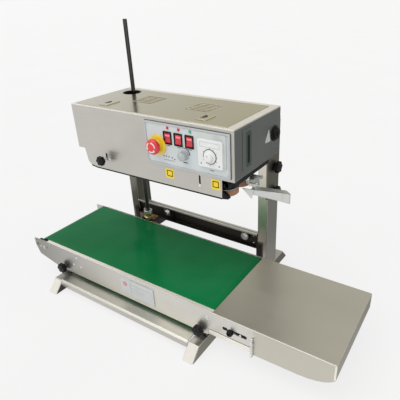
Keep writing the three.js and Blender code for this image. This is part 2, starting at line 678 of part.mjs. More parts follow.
function thermostatDial() {
  const body = turned('y', [
    [0, -139], [9, -139], [10.5, -137.5], [11, -130], [16.5, -129],
    [16.5, -127.4], [3.7, -127.4], [3.7, -114], [0, -114],
  ]);
  const pointer = box(-0.8, 0.8, -139.6, -137, 2, 9);
  return placed(piece('thermostat_dial', join(body, pointer), MATERIALS.white), THERMO.x, 0, THERMO.z - 6);
}

// ---------------------------------------------------------------- assembly
const stand = group(
  foot('foot_left', LEFT_X),
  foot('foot_right', RIGHT_X),
  post('post_left', LEFT_X),
  post('post_right', RIGHT_X),
  frontBeam(),
  rearBeam(),
  saddle('saddle_left', LEFT_X),
  saddle('saddle_right', RIGHT_X),
);

const conveyor = group(
  framePlate('frame_plate_front', FRONT, FRONT + PLATE, -205.8),
  framePlate('frame_plate_rear', REAR, REAR - PLATE, 53.6),
  sliderBed(),
  conveyorBelt(),
  roller('drive_roller', ROLLER.left, 33),
  roller('tail_roller', ROLLER.right, 51),
  extensionTable(),
  tableRail(),
  starKnob('conveyor_knob_left', 'y', [LEFT_X, FRONT - 6, 66], -1, 16, 14, 16, 4),
  starKnob('conveyor_knob_right', 'y', [RIGHT_X, FRONT - 6, 66], -1, 16, 14, 16, 4),
  crossShaft(),
  crossShaftBearing(),
  driveChain(),
  driveShaft(),
  shaftBevelGear(),
  shaftBracket(),
  shaftBush(),
);

const clampKnobs = [['left', LEFT_X, -1], ['right', RIGHT_X, 1]].flatMap(([end, x, side]) => (
  [['upper', 18], ['lower', 14]].map(([level, radius]) => {
    const seat = [x + side * (POST.w / 2 + CLAMP.back), CLAMP.y, CLAMP[level]];
    return starKnob(`clamp_knob_${end}_${level}`, 'x', seat, side, radius, 13, 4.5, 4);
  })
));

const head = group(
  carriageBar(),
  slideBracket('slide_bracket_left', LEFT_X, -1),
  slideBracket('slide_bracket_right', RIGHT_X, 1),
  headCasing(),
  headLid(),
  basePlate(),
  guardPlate(),
  wheel('front_drive_wheel', SHAFT.x, FRONT_WHEEL_Y, TEETH.wheel, Math.PI / 2),
  wheel('rear_drive_wheel', SHAFT.x, REAR_WHEEL_Y, TEETH.wheel, Math.PI / 2),
  wheel('front_idle_wheel', WHEEL.idleX, FRONT_WHEEL_Y, 0, 0),
  wheel('rear_idle_wheel', WHEEL.idleX, REAR_WHEEL_Y, 0, 0),
  sleeveGear(),
  motorPinion(),
  gearMotor(),
  band('front_band', FRONT_WHEEL_Y),
  band('rear_band', REAR_WHEEL_Y),
  pressBlock('heater_front', 0, 100, -1),
  pressBlock('heater_rear', 0, 100, 1),
  pressWheel('press_wheel_front', -1),
  pressWheel('press_wheel_rear', 1),
  infeedGuide(),
  ...clampKnobs,
);

const controls = group(
  controlPanel(),
  estopBase(),
  estopButton(),
  ...ROCKER.xs.map((_, index) => rocker(index)),
  speedKnob(),
  thermostatBody(),
  thermostatDial(),
  starKnob('pressure_knob', 'y', [PRESSURE.x, PRESSURE.y, PRESSURE.z], -1, 14, 12, 27, 3.2),
);

export default group(stand, conveyor, head, controls);
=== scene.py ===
"""Looks of a continuous band sealer that stands on a short belt conveyor.

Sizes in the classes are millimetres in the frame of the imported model; every mesh is scaled to metres
when it is finished. X runs along the conveyor, the operator stands at -Y and +Z is up.
"""

import logging
import math
from collections.abc import Callable, Iterable, Sequence
from dataclasses import dataclass, field
from enum import Enum

import bmesh
import bpy
from mathutils import Matrix, Vector


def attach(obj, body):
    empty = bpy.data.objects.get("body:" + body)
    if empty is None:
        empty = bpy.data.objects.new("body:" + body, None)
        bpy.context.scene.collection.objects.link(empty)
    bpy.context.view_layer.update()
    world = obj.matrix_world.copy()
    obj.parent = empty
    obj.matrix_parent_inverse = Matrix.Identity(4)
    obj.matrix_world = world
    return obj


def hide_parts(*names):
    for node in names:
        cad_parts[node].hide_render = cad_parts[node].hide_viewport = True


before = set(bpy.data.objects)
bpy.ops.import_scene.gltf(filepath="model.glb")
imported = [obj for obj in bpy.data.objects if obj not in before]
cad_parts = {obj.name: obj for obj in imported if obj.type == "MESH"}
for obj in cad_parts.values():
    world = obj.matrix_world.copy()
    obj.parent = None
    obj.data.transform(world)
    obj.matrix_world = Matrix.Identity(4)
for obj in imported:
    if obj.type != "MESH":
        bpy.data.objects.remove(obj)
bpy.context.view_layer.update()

MM = 0.001
FULL_TURN = 2 * math.pi
SHARP = math.radians(32)  # corners past this angle stay crisp
FACING = 0.9  # how squarely a face looks along an axis to count as facing it
DOUBLES = 1e-4  # points closer than this are one
RELIEF = 0.0002  # the height of a surface's fine relief, in metres
POSTS_X = (-380.0, 157.0)  # the middles of the left and right post
SHAFT = (-261.5, 66.0)  # the drive shaft's axis in X and Y
log = logging.getLogger("band_sealer")

Point2 = tuple[float, float]
Colour = tuple[float, float, float]
Place = tuple[float, float, float]
Vert = bmesh.types.BMVert
Verts = list[Vert]
Node = bpy.types.Node
NodeTree = bpy.types.NodeTree
NodeOutputs = bpy.types.NodeOutputs
Socket = bpy.types.NodeSocket


# ---------------------------------------------------------------- node graphs
class Graph:
    """A node tree with short calls that add nodes and feed their sockets."""

    def __init__(self, tree: NodeTree) -> None:
        """Keeps the tree that the calls work on."""
        self.tree = tree

    def fill(self, node: Node, inputs: dict) -> Node:
        """Sets a node's inputs.

        Args:
            node: The node.
            inputs: Socket name or number to a value, or to the output that feeds it.

        Returns:
            The same node.
        """
        for name, value in inputs.items():
            if isinstance(value, Socket):
                self.tree.links.new(value, node.inputs[name])
            else:
                node.inputs[name].default_value = value
        return node

    def node(self, kind: str, inputs: dict | None = None, **settings: object) -> Node:
        """Adds a node.

        Args:
            kind: The node's type, without the leading "ShaderNode" where it has one.
            inputs: What its sockets hold, as for fill.
            settings: Properties of the node.

        Returns:
            The new node.
        """
        prefix = "" if kind.startswith("NodeGroup") else "ShaderNode"
        made = self.tree.nodes.new(prefix + kind)
        for name, value in settings.items():
            setattr(made, name, value)
        return self.fill(made, inputs or {})

    def math(self, operation: str, a: object, b: object = 0.0, c: object = 0.0) -> Socket:
        """One arithmetic step on numbers or outputs."""
        return self.node("Math", {0: a, 1: b, 2: c}, operation=operation).outputs[0]

    def mix(self, factor: object, first: object, second: object) -> Socket:
        """A colour between two colours."""
        return self.node("Mix", {0: factor, 6: first, 7: second}, data_type="RGBA").outputs[2]

    def spread(self, value: object, low: float, high: float, to_low: float = 0.0,
               to_high: float = 1.0) -> Socket:
        """A value moved from one range to another and held in it."""
        ends = {0: value, 1: low, 2: high, 3: to_low, 4: to_high}
        return self.node("MapRange", ends, clamp=True).outputs[0]

    def part(self, value: object, index: int) -> Socket:
        """One coordinate of a vector."""
        return self.node("SeparateXYZ", {0: value}).outputs[index]

    def effect(self, name: str, **inputs: object) -> NodeOutputs:
        """One of the shared effects, placed with its own values."""
        return self.node("Group", inputs, node_tree=GROUPS[name]).outputs

    def relief(self, strength: float, height: Socket, **under: object) -> Socket:
        """The normal of a fine relief, laid over the Normal that is given with it."""
        inputs = {"Strength": strength, "Distance": RELIEF, "Height": height, **under}
        return self.node("Bump", inputs).outputs[0]

    def ramp(self, value: object, stops: Sequence[tuple[float, Colour]]) -> Socket:
        """A colour that runs through several stops.

        Args:
            value: The place on the ramp, from 0 to 1.
            stops: Pairs of place and colour, in order.

        Returns:
            The colour's output.
        """
        made = self.node("ValToRGB", {0: value})
        elements = made.color_ramp.elements
        elements[0].position, elements[1].position = stops[0][0], stops[-1][0]
        for place, _ in stops[1:-1]:
            elements.new(place)
        for element, (_, colour) in zip(elements, stops):
            element.color = (*colour, 1.0)
        return made.outputs[0]


def rgba(colour: Colour, factor: float = 1.0) -> tuple[float, float, float, float]:
    """A colour with full alpha, made lighter or darker by a factor."""
    return (*(min(1.0, part * factor) for part in colour), 1.0)


def new_group(name: str, takes: dict[str, str], gives: dict[str, str],
              ) -> tuple[Graph, NodeOutputs, Node]:
    """Starts a shader node group with named sockets.

    Args:
        name: The group's name.
        takes: Socket name to kind for the inputs.
        gives: Socket name to kind for the outputs.

    Returns:
        The group's graph, the outputs of its Group Input node, and its Group Output node.
    """
    tree = bpy.data.node_groups.new(name, "ShaderNodeTree")
    for way, sockets in (("INPUT", takes), ("OUTPUT", gives)):
        for socket, kind in sockets.items():
            tree.interface.new_socket(socket, in_out=way, socket_type=f"NodeSocket{kind}")
    graph = Graph(tree)
    return graph, graph.node("NodeGroupInput").outputs, graph.node("NodeGroupOutput")


def brushed_grain() -> NodeTree:
    """Fine streaks of a brushed or rolled surface, with the slow clouding of the sheet under them.

    Returns:
        The node group.
    """
    graph, takes, end = new_group("brushed_grain", {"Streak_Place": "Vector", "Cloud_Place": "Vector"},
                                  {"Streaks": "Float", "Clouds": "Float", "Tone": "Float"})
    fine = graph.node("TexNoise", {"Vector": takes[0], "Scale": 1.0, "Detail": 4.0, "Roughness": 0.65})
    slow = graph.node("TexNoise", {"Vector": takes[1], "Scale": 5.5, "Detail": 2.0, "Distortion": 0.4})
    streaks = graph.spread(fine.outputs[0], 0.3, 0.7)
    clouds = graph.spread(slow.outputs[0], 0.32, 0.68)
    tone = graph.math("MULTIPLY_ADD", streaks, 0.45, graph.math("MULTIPLY", clouds, 0.55))
    graph.fill(end, {"Streaks": streaks, "Clouds": clouds, "Tone": tone})
    return graph.tree


def edge_wear() -> NodeTree:
    """Where a surface turns a corner: a broken mask of handling wear, and the softened normal there.

    Returns:
        The node group.
    """
    graph, takes, end = new_group("edge_wear", {"Place": "Vector", "Radius": "Float", "Amount": "Float"},
                                  {"Mask": "Float", "Normal": "Vector"})
    soft = graph.node("Bevel", {"Radius": takes[1]}, samples=4)
    own = graph.node("NewGeometry")
    turn = graph.node("VectorMath", {0: soft.outputs[0], 1: own.outputs["Normal"]}, operation="DOT_PRODUCT")
    corner = graph.spread(turn.outputs["Value"], 0.995, 0.9)
    broken = graph.node("TexNoise", {"Vector": takes[0], "Scale": 90.0, "Detail": 3.0})
    rubbed = graph.spread(broken.outputs[0], 0.35, 0.6, 0.25)
    mask = graph.math("MULTIPLY", graph.math("MULTIPLY", corner, rubbed), takes[2])
    graph.fill(end, {"Mask": mask, "Normal": soft.outputs[0]})
    return graph.tree


def settled_dust() -> NodeTree:
    """A thin film of dust on what faces up, thicker in slow patches.

    Returns:
        The node group.
    """
    graph, takes, end = new_group("settled_dust", {"Place": "Vector", "Amount": "Float"}, {"Mask": "Float"})
    upward = graph.spread(graph.part(graph.node("NewGeometry").outputs["Normal"], 2), 0.3, 1.0)
    patches = graph.node("TexNoise", {"Vector": takes[0], "Scale": 14.0, "Detail": 5.0})
    film = graph.spread(patches.outputs[0], 0.4, 0.7, 0.2)
    graph.fill(end, {"Mask": graph.math("MULTIPLY", graph.math("MULTIPLY", upward, film), takes[1])})
    return graph.tree


def moulded_speckle() -> NodeTree:
    """The spark-eroded texture of a moulded or powder-coated surface.

    Returns:
        The node group.
    """
    graph, takes, end = new_group("moulded_speckle", {"Place": "Vector", "Size": "Float"},
                                  {"Height": "Float", "Tone": "Float"})
    grains = graph.node("TexNoise", {"Vector": takes[0], "Scale": takes[1], "Detail": 2.0})
    slow = graph.node("TexNoise", {"Vector": takes[0], "Scale": 30.0, "Detail": 2.0})
    tone = graph.math("MULTIPLY_ADD", slow.outputs[0], 0.6, graph.math("MULTIPLY", grains.outputs[0], 0.4))
    graph.fill(end, {"Height": grains.outputs[0], "Tone": graph.spread(tone, 0.35, 0.65)})
    return graph.tree


GROUPS = {made.name: made for made in (brushed_grain(), edge_wear(), settled_dust(), moulded_speckle())}


# ---------------------------------------------------------------- finishes
class Grain(Enum):
    """The way a surface was brushed, as the stretch of its streaks per metre along X, Y and Z."""

    ALONG_X = (9.0, 900.0, 900.0)
    ALONG_Y = (900.0, 9.0, 900.0)
    ALONG_Z = (900.0, 900.0, 9.0)
    CAST = (420.0, 420.0, 420.0)


def start_material(name: str) -> tuple[bpy.types.Material, Graph, Node, Socket]:
    """An empty material with its shader and its object coordinates.

    Args:
        name: The material's name.

    Returns:
        The material, its graph, its Principled shader and its object coordinates.
    """
    material = bpy.data.materials.new(name)
    material.use_nodes = True
    graph = Graph(material.node_tree)
    material.node_tree.nodes.clear()
    shader = graph.node("BsdfPrincipled")
    graph.node("OutputMaterial", {0: shader.outputs[0]})
    return material, graph, shader, graph.node("TexCoord").outputs["Object"]


@dataclass(frozen=True)
class Finish:
    """A surface's look, which becomes a material on its first use.

    Attributes:
        name: The material's name.
        slot: A material slot's name; it is not used.
        colour: Its colour at the middle of its tone.
        roughness: Its roughness.
    """

    name: str
    slot: str
    colour: Colour
    roughness: float

    def material(self) -> bpy.types.Material:
        """Builds the material, unless it is there.

        Returns:
            The material.
        """
        if self.name not in bpy.data.materials:
            _, graph, shader, place = start_material(self.name)
            self.dress(graph, shader, place)
        return bpy.data.materials[self.name]

    def dress(self, graph: Graph, shader: Node, place: Socket) -> None:
        """Adds the finish's own nodes.

        Args:
            graph: The material's graph.
            shader: Its Principled shader.
            place: Its object coordinates.
        """
        raise NotImplementedError

    def tones(self, darker: float, lighter: float) -> tuple[tuple[float, ...], tuple[float, ...]]:
        """The colour at two levels."""
        return rgba(self.colour, darker), rgba(self.colour, lighter)


@dataclass(frozen=True)
class Metal(Finish):
    """A bare metal surface with grain, clouding, worn edges lightened partly as a painted highlight, a
    little dust, and an optional painted shade at its left end.

    Attributes:
        grain: The way it was brushed.
        contrast: How much the tone changes over the sheet.
        depth: How deep the streaks read.
        wear: How bright its edges are rubbed; the brightening is partly wear and partly a painted
            highlight.
        dust: How much dust lies on it.
        painted_end_shade: How much darker the sheet is painted towards its left end (-X), a painted shade.
    """

    grain: Grain = Grain.ALONG_X
    contrast: float = 0.1
    depth: float = 0.12
    wear: float = 0.5
    dust: float = 0.12
    painted_end_shade: float = 0.0

    def dress(self, graph: Graph, shader: Node, place: Socket) -> None:
        """Adds the streaks, the rubbed edges and the dust.

        Args:
            graph: The material's graph.
            shader: Its Principled shader.
            place: Its object coordinates.
        """
        stretched = graph.node("Mapping", {"Vector": place, "Scale": self.grain.value}).outputs[0]
        grain = graph.effect("brushed_grain", Streak_Place=stretched, Cloud_Place=place)
        edge = graph.effect("edge_wear", Place=place, Radius=0.5 * MM, Amount=self.wear)
        dust = graph.effect("settled_dust", Place=place, Amount=self.dust)["Mask"]
        sheet = graph.mix(grain["Tone"], *self.tones(1 - self.contrast, 1 + self.contrast))
        # Edges lightened to 1.45 times the colour: rubbed wear, and partly a painted highlight along the
        # edges.
        worn = graph.mix(edge["Mask"], sheet, rgba(self.colour, 1.45))
        colour = graph.mix(dust, worn, rgba(METAL_DUST))
        # Painted shade: the colour is darkened along X from -0.5 m to -0.08 m, strongest at the left end.
        if self.painted_end_shade:
            end_shade = graph.spread(graph.part(place, 0), -0.5, -0.08, self.painted_end_shade, 0.0)
            colour = graph.mix(end_shade, colour, rgba(PAINTED_SHADE_COLOUR))
        rough = graph.math("MULTIPLY_ADD", grain["Streaks"], 0.1, self.roughness - 0.05)
        rough = graph.math("MULTIPLY_ADD", grain["Clouds"], 0.05, rough)
        rough = graph.math("MULTIPLY_ADD", dust, 0.35, rough)
        normal = graph.relief(self.depth, grain["Streaks"], Normal=edge["Normal"])
        graph.fill(shader, {"Base Color": colour, "Roughness": rough, "Normal": normal, "Metallic": 1.0})


@dataclass(frozen=True)
class Moulded(Finish):
    """Plastic, rubber, paint or powder coat, with its fine texture and rubbed edges.

    Attributes:
        speckle: The texture's scale per metre.
        depth: How deep the texture reads.
        contrast: How much its tone changes.
        wear: How pale its edges are rubbed.
        dust: How much dust lies on it.
        coat: A clear glossy layer over it.
        glow: How much light comes through it, as in a lit lens.
        shine: How strongly it mirrors its surroundings.
    """

    speckle: float = 1400.0
    depth: float = 0.15
    contrast: float = 0.12
    wear: float = 0.35
    dust: float = 0.1
    coat: float = 0.0
    glow: float = 0.0
    shine: float = 0.5

    def dress(self, graph: Graph, shader: Node, place: Socket) -> None:
        """Adds the speckle, the pale edges and the dust.

        Args:
            graph: The material's graph.
            shader: Its Principled shader.
            place: Its object coordinates.
        """
        skin = graph.effect("moulded_speckle", Place=place, Size=self.speckle)
        edge = graph.effect("edge_wear", Place=place, Radius=0.4 * MM, Amount=self.wear)
        dust = graph.effect("settled_dust", Place=place, Amount=self.dust)["Mask"]
        body = graph.mix(skin["Tone"], *self.tones(1 - self.contrast, 1 + self.contrast))
        pale = tuple(0.75 * c + 0.12 for c in self.colour)
        colour = graph.mix(dust, graph.mix(edge["Mask"], body, rgba(pale)), rgba(PLASTIC_DUST))
        rough = graph.math("MULTIPLY_ADD", skin["Height"], 0.12, self.roughness - 0.06)
        rough = graph.math("MULTIPLY_ADD", dust, 0.3, rough)
        normal = graph.relief(self.depth, skin["Height"], Normal=edge["Normal"])
        graph.fill(shader, {"Base Color": colour, "Roughness": rough, "Normal": normal, "Metallic": 0.0,
                            "Coat Weight": self.coat, "Coat Roughness": 0.08,
                            "Specular IOR Level": self.shine})
        if self.glow:
            graph.fill(shader, {"Emission Color": colour, "Emission Strength": self.glow})


@dataclass(frozen=True)
class Woven(Finish):
    """Glass cloth coated with resin, as on a heated band: a fine plain weave under a satin film.

    Attributes:
        threads: The weave's scale per metre.
    """

    threads: float = 700.0

    def dress(self, graph: Graph, shader: Node, place: Socket) -> None:
        """Adds the weave and the patches that heat has darkened.

        Args:
            graph: The material's graph.
            shader: Its Principled shader.
            place: Its object coordinates.
        """
        turn, across = (graph.node("TexWave", {"Vector": place, "Scale": self.threads, "Distortion": 0.3},
                                   wave_type="BANDS", bands_direction=way).outputs["Fac"] for way in "ZX")
        weave = graph.math("MULTIPLY", turn, across)
        scorch = graph.node("TexNoise", {"Vector": place, "Scale": 24.0, "Detail": 4.0})
        patch = graph.spread(scorch.outputs[0], 0.35, 0.65)
        body = graph.mix(patch, *self.tones(0.72, 1.12))
        colour = graph.mix(graph.math("MULTIPLY", weave, 0.25), body, rgba(self.colour, 0.5))
        rough = graph.math("MULTIPLY_ADD", patch, 0.15, self.roughness)
        graph.fill(shader, {"Base Color": colour, "Roughness": rough, "Normal": graph.relief(0.3, weave)})


@dataclass(frozen=True)
class BeltCover(Finish):
    """The smooth green face of a conveyor belt, with faint scuffs along its run and a satin gloss.

    Attributes:
        shine: How strongly it mirrors its surroundings.
    """

    shine: float = 0.09

    def dress(self, graph: Graph, shader: Node, place: Socket) -> None:
        """Adds the slow tone, the scuffs, the dust and the pores.

        Args:
            graph: The material's graph.
            shader: Its Principled shader.
            place: Its object coordinates.
        """
        run = graph.node("Mapping", {"Vector": place, "Scale": (6.0, 160.0, 160.0)}).outputs[0]
        scuffs = graph.node("TexNoise", {"Vector": run, "Scale": 1.0, "Detail": 5.0, "Roughness": 0.7})
        slow = graph.node("TexNoise", {"Vector": place, "Scale": 3.2, "Detail": 2.0})
        pores = graph.node("TexNoise", {"Vector": place, "Scale": 900.0, "Detail": 1.0})
        tone = graph.spread(slow.outputs[0], 0.35, 0.65)
        mark = graph.spread(scuffs.outputs[0], 0.58, 0.76, 0.0, 0.07)
        colour = graph.mix(mark, graph.mix(tone, *self.tones(0.84, 1.14)), rgba(BELT_SCUFF))
        dust = graph.effect("settled_dust", Place=place, Amount=0.02)["Mask"]
        colour = graph.mix(dust, colour, rgba(BELT_DUST))
        rough = graph.math("MULTIPLY_ADD", mark, 0.5, self.roughness)
        rough = graph.math("MULTIPLY_ADD", tone, 0.05, rough)
        edge = graph.effect("edge_wear", Place=place, Radius=0.4 * MM, Amount=0.3)
        normal = graph.relief(0.06, pores.outputs[0], Normal=edge["Normal"])
        graph.fill(shader, {"Base Color": colour, "Roughness": rough, "Normal": normal, "Metallic": 0.0,
                            "Specular IOR Level": self.shine})


METAL_DUST: Colour = (0.62, 0.6, 0.56)
PLASTIC_DUST: Colour = (0.5, 0.48, 0.44)
BELT_DUST: Colour = (0.35, 0.42, 0.37)
BELT_SCUFF: Colour = (0.09, 0.24, 0.15)
# The colour of the painted shade at the left end of a sheet.
PAINTED_SHADE_COLOUR: Colour = (0.1, 0.098, 0.084)

STEEL_SHEET = Metal("sheet_brushed_along", "stainless", (0.56, 0.545, 0.5), 0.36)
# The conveyor's front plate and the rear beam's cap: the same stainless painted lighter as a painted
# highlight, with a painted shade towards the left end.
STEEL_FRAME_LIT_SHADED = Metal("sheet_frame_painted_light_and_shade", "stainless", (0.68, 0.665, 0.62), 0.36, painted_end_shade=0.62)
STEEL_TOP = Metal("sheet_table_top", "stainless", (0.6, 0.575, 0.5), 0.34, contrast=0.05)
# Post finishes are lit and shaded copies of one stainless: the tubes painted darker as shade on their
# sides, the right post's front painted light as a highlight, the left post's front and inner faces painted
# dark as shade.
STEEL_POST_SIDE_SHADE = Metal("sheet_post_side_painted_shade", "stainless", (0.36, 0.355, 0.31), 0.3, Grain.ALONG_Z)
STEEL_POST_FRONT_HIGHLIGHT = Metal("sheet_post_front_painted_highlight", "stainless", (0.78, 0.72, 0.63), 0.3, Grain.ALONG_Z)
STEEL_LEFT_POST_SIDE_SHADE = Metal("sheet_left_post_side_painted_shade", "stainless", (0.13, 0.128, 0.1), 0.3, Grain.ALONG_Z,
                     contrast=0.16)
STEEL_LEFT_POST_FRONT_SHADE = Metal("sheet_left_post_front_painted_shade", "stainless", (0.2, 0.185, 0.155), 0.3, Grain.ALONG_Z,
                         contrast=0.16)
# A dark olive stainless for the table's right end face: painted shade.
STEEL_TABLE_END_SHADE = Metal("sheet_table_end_painted_shade", "stainless", (0.3, 0.285, 0.235), 0.4, Grain.ALONG_Z, contrast=0.2)
# A near-white stainless for bright edge lines: painted highlights on the belt flange, the table's edges,
# the rail and the casing's rim.
STEEL_HIGHLIGHT_STRIP = Metal("sheet_painted_highlight", "stainless", (0.92, 0.89, 0.83), 0.5, contrast=0.05, dust=0.3)
STEEL_CROSS = Metal("sheet_brushed_across", "stainless", (0.52, 0.51, 0.47), 0.36, Grain.ALONG_Y)
STEEL_OLIVE = Metal("sheet_olive_shaded", "black_steel", (0.2, 0.195, 0.155), 0.38, Grain.ALONG_Z,
                    contrast=0.08)
STEEL_DARK = Metal("sheet_end_shaded", "stainless", (0.24, 0.255, 0.245), 0.42, Grain.ALONG_Y,
                   contrast=0.08)
STEEL_TEAL = Metal("sheet_teal_shaded", "stainless", (0.11, 0.165, 0.15), 0.36, Grain.ALONG_Z,
                   contrast=0.08)
STEEL_LID = Metal("lid_polished", "lid", (0.53, 0.495, 0.37), 0.17, contrast=0.04, depth=0.04,
                  wear=0.7, dust=0.05)
# A lighter copy of the lid's steel for its raised lips: a painted highlight.
LID_LIP_HIGHLIGHT = Metal("lid_lips_painted_highlight", "lid", (0.74, 0.7, 0.56), 0.3, contrast=0.04, depth=0.04)
BLACK_STEEL = Metal("steel_blackened", "black_steel", (0.055, 0.05, 0.046), 0.4, Grain.CAST,
                    contrast=0.25, wear=0.6)
SHAFT_STEEL = Metal("shaft_dark_polished", "black_steel", (0.075, 0.07, 0.068), 0.26,
                    Grain.ALONG_Z, wear=0.5)
BRIGHT_STEEL = Metal("steel_bright_plated", "bright_steel", (0.68, 0.68, 0.67), 0.22, Grain.CAST,
                     contrast=0.06)
CUT_STEEL = Metal("steel_cut_teeth", "bright_steel", (0.5, 0.5, 0.5), 0.3, Grain.ALONG_Z, contrast=0.15)
ALUMINIUM = Metal("aluminium_milled", "aluminium", (0.66, 0.67, 0.65), 0.34, contrast=0.06)
CAST_ALLOY = Metal("aluminium_cast", "aluminium", (0.5, 0.5, 0.49), 0.5, Grain.CAST,
                   contrast=0.15, depth=0.4)
BRASS = Metal("brass_turned", "brass", (0.6, 0.45, 0.2), 0.28, Grain.CAST, contrast=0.15)
WORN_BRASS = Metal("brass_oiled", "brass", (0.34, 0.2, 0.08), 0.42, Grain.CAST, contrast=0.35)
BLACK_PLASTIC = Moulded("plastic_black", "black_plastic", (0.008, 0.008, 0.009), 0.36, wear=0.1,
                        dust=0.02, shine=0.14)
PRESS_RUBBER = Moulded("rubber_wheel", "press_rubber", (0.022, 0.022, 0.024), 0.7, 500.0, 0.4)
PANEL_FACE = Moulded("panel_pale", "panel_face", (0.6, 0.648, 0.66), 0.36, 900.0, 0.06, contrast=0.03)
PANEL_RIM = Moulded("panel_rim", "panel_face", (0.48, 0.5, 0.52), 0.36, 900.0, 0.06, contrast=0.05)
RED_PLASTIC = Moulded("plastic_red", "red_plastic", (0.72, 0.028, 0.035), 0.24, depth=0.05,
                      wear=0.15, coat=0.4)
RED_LENS = Moulded("lens_red", "red_plastic", (0.5, 0.002, 0.018), 0.14, depth=0.03, wear=0.15, dust=0.02,
                   coat=0.8, glow=0.12)
# A pale glowing pink for the rockers' upper faces: a painted highlight.
ROCKER_HIGHLIGHT_PATCH = Moulded("rocker_painted_highlight", "red_plastic", (0.86, 0.16, 0.2), 0.12, depth=0.02, wear=0.05,
                    dust=0.0, coat=0.8, glow=0.25)
GREEN_LENS = Moulded("lens_green", "white_plastic", (0.01, 0.34, 0.2), 0.16, depth=0.03, wear=0.1,
                     coat=0.6, glow=0.15)
YELLOW_PLASTIC = Moulded("plastic_yellow", "yellow_plastic", (0.82, 0.6, 0.03), 0.32, depth=0.06, coat=0.2)
YELLOW_FILM = Moulded("label_yellow", "yellow_plastic", (0.86, 0.63, 0.02), 0.35, 700.0, 0.05,
                      contrast=0.04)
GREY_PLASTIC = Moulded("plastic_grey", "grey_plastic", (0.42, 0.45, 0.47), 0.36, depth=0.1)
BEZEL_PLASTIC = Moulded("plastic_bezel", "grey_plastic", (0.56, 0.59, 0.58), 0.36, depth=0.08, wear=0.2)
WHITE_PLASTIC = Moulded("plastic_white", "white_plastic", (0.78, 0.79, 0.79), 0.28, depth=0.05,
                        contrast=0.04)
# A pale skin for the feet's sloping ends: a painted highlight.
TOE_PAINTED_HIGHLIGHT = Moulded("toe_painted_highlight", "white_plastic", (0.72, 0.69, 0.64), 0.4, depth=0.06,
                      contrast=0.03, wear=0.1)
PLATE_FILM = Moulded("label_pale", "white_plastic", (0.55, 0.57, 0.57), 0.34, 700.0, 0.05, contrast=0.05)
BELT_GREEN = BeltCover("belt_green", "belt", (0.002, 0.15, 0.044), 0.13)
BAND_CLOTH = Woven("band_cloth", "ptfe", (0.42, 0.2, 0.11), 0.42)

PLAIN_NODES: dict[str, Finish] = {
    "saddle_left": BLACK_STEEL, "saddle_right": BLACK_STEEL, "slider_bed": STEEL_CROSS,
    "cross_shaft": CUT_STEEL, "cross_shaft_bearing": ALUMINIUM, "drive_chain": BLACK_STEEL,
    "drive_shaft": SHAFT_STEEL, "shaft_bevel_gear": BRASS, "shaft_bush": BRASS,
    "slide_bracket_left": STEEL_OLIVE, "slide_bracket_right": STEEL_OLIVE,
    "head_base_plate": STEEL_CROSS, "sleeve_gear": CUT_STEEL, "motor_pinion": CUT_STEEL,
    "gear_motor": CAST_ALLOY, "heater_front": BRASS, "heater_rear": BRASS,
}


# ---------------------------------------------------------------- forms
class Axis(Enum):
    """The direction a form is pushed out or turned about."""

    X = 0
    Y = 1
    Z = 2

    def point(self, a: float, b: float, along: float) -> Vector:
        """A point from the two coordinates across the axis, in X, Y, Z order, and the one along it."""
        spots = [a, b]
        spots.insert(self.value, along)
        return Vector(spots)

    def way(self) -> Vector:
        """The unit vector along the axis."""
        return self.point(0, 0, 1)


def rounded(points: Sequence[Point2], radius: float | Sequence[float], steps: int = 4) -> list[Point2]:
    """An outline with its corners rounded.

    Args:
        points: The corners in order.
        radius: One radius for all, or one for each corner, where 0 keeps it sharp.
        steps: Straight runs in each rounded corner.

    Returns:
        The outline's points.
    """
    count = len(points)
    radii = [radius] * count if isinstance(radius, (int, float)) else list(radius)
    out: list[Point2] = []
    for i, corner in enumerate(points):
        here = Vector(corner)
        before = Vector(points[i - 1]) - here
        after = Vector(points[(i + 1) % count]) - here
        if radii[i] <= 0:
            out.append((here.x, here.y))
            continue
        half = before.angle(after) / 2
        reach = min(radii[i] / math.tan(half), before.length * 0.49, after.length * 0.49)
        start, end = here + before.normalized() * reach, here + after.normalized() * reach
        for k in range(steps + 1):
            t = k / steps
            spot = start * (1 - t) ** 2 + here * 2 * t * (1 - t) + end * t * t
            out.append((spot.x, spot.y))
    return out


def rectangle(a0: float, a1: float, b0: float, b1: float, radius: float = 0.0,
              steps: int = 4) -> list[Point2]:
    """A rectangle's outline, with rounded corners if a radius is given."""
    return rounded([(a0, b0), (a1, b0), (a1, b1), (a0, b1)], radius, steps)


def within(value: float, ends: Point2) -> bool:
    """Whether a value is between two ends."""
    return ends[0] < value < ends[1]


def around(centre: Point2, reach: float, angle: float) -> Point2:
    """The point at a distance and an angle from a centre."""
    return (centre[0] + reach * math.cos(angle), centre[1] + reach * math.sin(angle))


def ring(a: float, b: float, radius: float, steps: int = 24) -> list[Point2]:
    """A circle's outline."""
    return [around((a, b), radius, FULL_TURN * k / steps) for k in range(steps)]


def stadium(ends: Point2, b: float, radius: float, steps: int) -> list[Point2]:
    """The outline of a band that runs round two equal wheels.

    Args:
        ends: The wheels' centres along the first coordinate, the lower one first.
        b: Their centres' second coordinate.
        radius: The band's radius round them.
        steps: Straight runs round each wheel.

    Returns:
        The outline's points.
    """
    return [around((centre, b), radius, start + math.pi * k / steps)
            for centre, start in ((ends[1], -math.pi / 2), (ends[0], math.pi / 2))
            for k in range(steps + 1)]


def slot_outline(a0: float, a1: float, b: float, radius: float) -> list[Point2]:
    """A slot with round ends, its long way along the first coordinate."""
    return rounded([(a0, b - radius), (a1, b - radius), (a1, b + radius), (a0, b + radius)],
                   radius * 0.98, 6)


